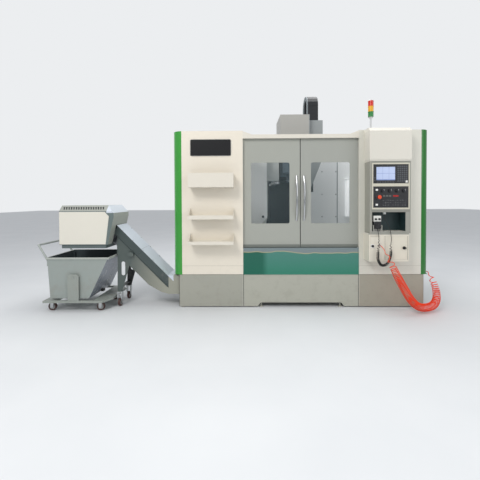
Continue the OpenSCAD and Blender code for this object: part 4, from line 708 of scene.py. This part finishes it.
def outlet_skirt():
    """The shallow open skirt below the discharge head."""
    skirt = start("primitive_cube_add", size=1, location=(-2.733, -0.755, 0.798), scale=(0.560, 0.462, 0.046))
    bpy.ops.object.transform_apply(location=True, rotation=True, scale=True)
    faces(skirt, lambda c, n: abs(n.z) > 0.9)
    bpy.ops.mesh.delete(type="ONLY_FACE")
    bpy.ops.object.mode_set(mode="OBJECT")
    wall = skirt.modifiers.new("wall", "SOLIDIFY")
    wall.thickness = 0.003
    bpy.ops.object.modifier_apply(modifier=wall.name)
    # Its dark teal is painted shade under the discharge head.
    finish_piece(skirt, "outlet_skirt", "machine",
                 surface("skirt_painted_shade", (92, 104, 104), 0.4))


console_marks()
sheet_screws()
wash_nozzle()
cover_screws()
rim("stop_collar", (914, -1067.2, 1400), 30, 1.6, greyed, "machine")
vent_slot_shades()
outlet_skirt()


# Studio
bpy.ops.object.select_all(action="DESELECT")
bpy.ops.mesh.primitive_plane_add(size=60, location=(0, 10, 0))
floor = bpy.context.object
floor.name = "floor"
ground = Finish("studio_floor")
cloudy = ground.mix(ground.noise(1.1, 3), linear(214, 217, 220), linear(226, 228, 230))
floor.data.materials.append(ground.set(Base_Color=cloudy, Roughness=0.6))

world = bpy.data.worlds.new("studio")
scene.world = world
world.use_nodes = True
tree = world.node_tree
tree.nodes.clear()
paths = tree.nodes.new("ShaderNodeLightPath")
seen = tree.nodes.new("ShaderNodeMath")
seen.operation = "MAXIMUM"
tree.links.new(paths.outputs["Is Camera Ray"], seen.inputs[0])
tree.links.new(paths.outputs["Is Transmission Ray"], seen.inputs[1])
ambient = tree.nodes.new("ShaderNodeBackground")
ambient.inputs["Color"].default_value = (0.95, 0.97, 1.0, 1)
ambient.inputs["Strength"].default_value = 0.62
shown = tree.nodes.new("ShaderNodeBackground")
shown.inputs["Color"].default_value = (*linear(236, 238, 240), 1)
blend = tree.nodes.new("ShaderNodeMixShader")
out = tree.nodes.new("ShaderNodeOutputWorld")
tree.links.new(seen.outputs[0], blend.inputs[0])
tree.links.new(ambient.outputs[0], blend.inputs[1])
tree.links.new(shown.outputs[0], blend.inputs[2])
tree.links.new(blend.outputs[0], out.inputs["Surface"])


def soft_light(name, place, aim, size, power, colour=(1, 1, 1)):
    data = bpy.data.lights.new(name, "AREA")
    data.shape = "SQUARE"
    data.size = size
    data.energy = power
    data.color = colour
    lamp = bpy.data.objects.new(name, data)
    scene.collection.objects.link(lamp)
    lamp.location = place
    lamp.rotation_euler = (Vector(aim) - Vector(place)).to_track_quat("-Z", "Y").to_euler()


soft_light("key", (-3.2, -5.6, 5.4), (0, 0, 1), 2.0, 185, (1, 0.98, 0.95))
soft_light("fill", (4.5, -5.5, 3.5), (0, 0, 1.2), 3.5, 80)
soft_light("top", (0, 0.5, 6.0), (0, 0, 1), 4.0, 170)

scene.view_settings.view_transform = "Standard"
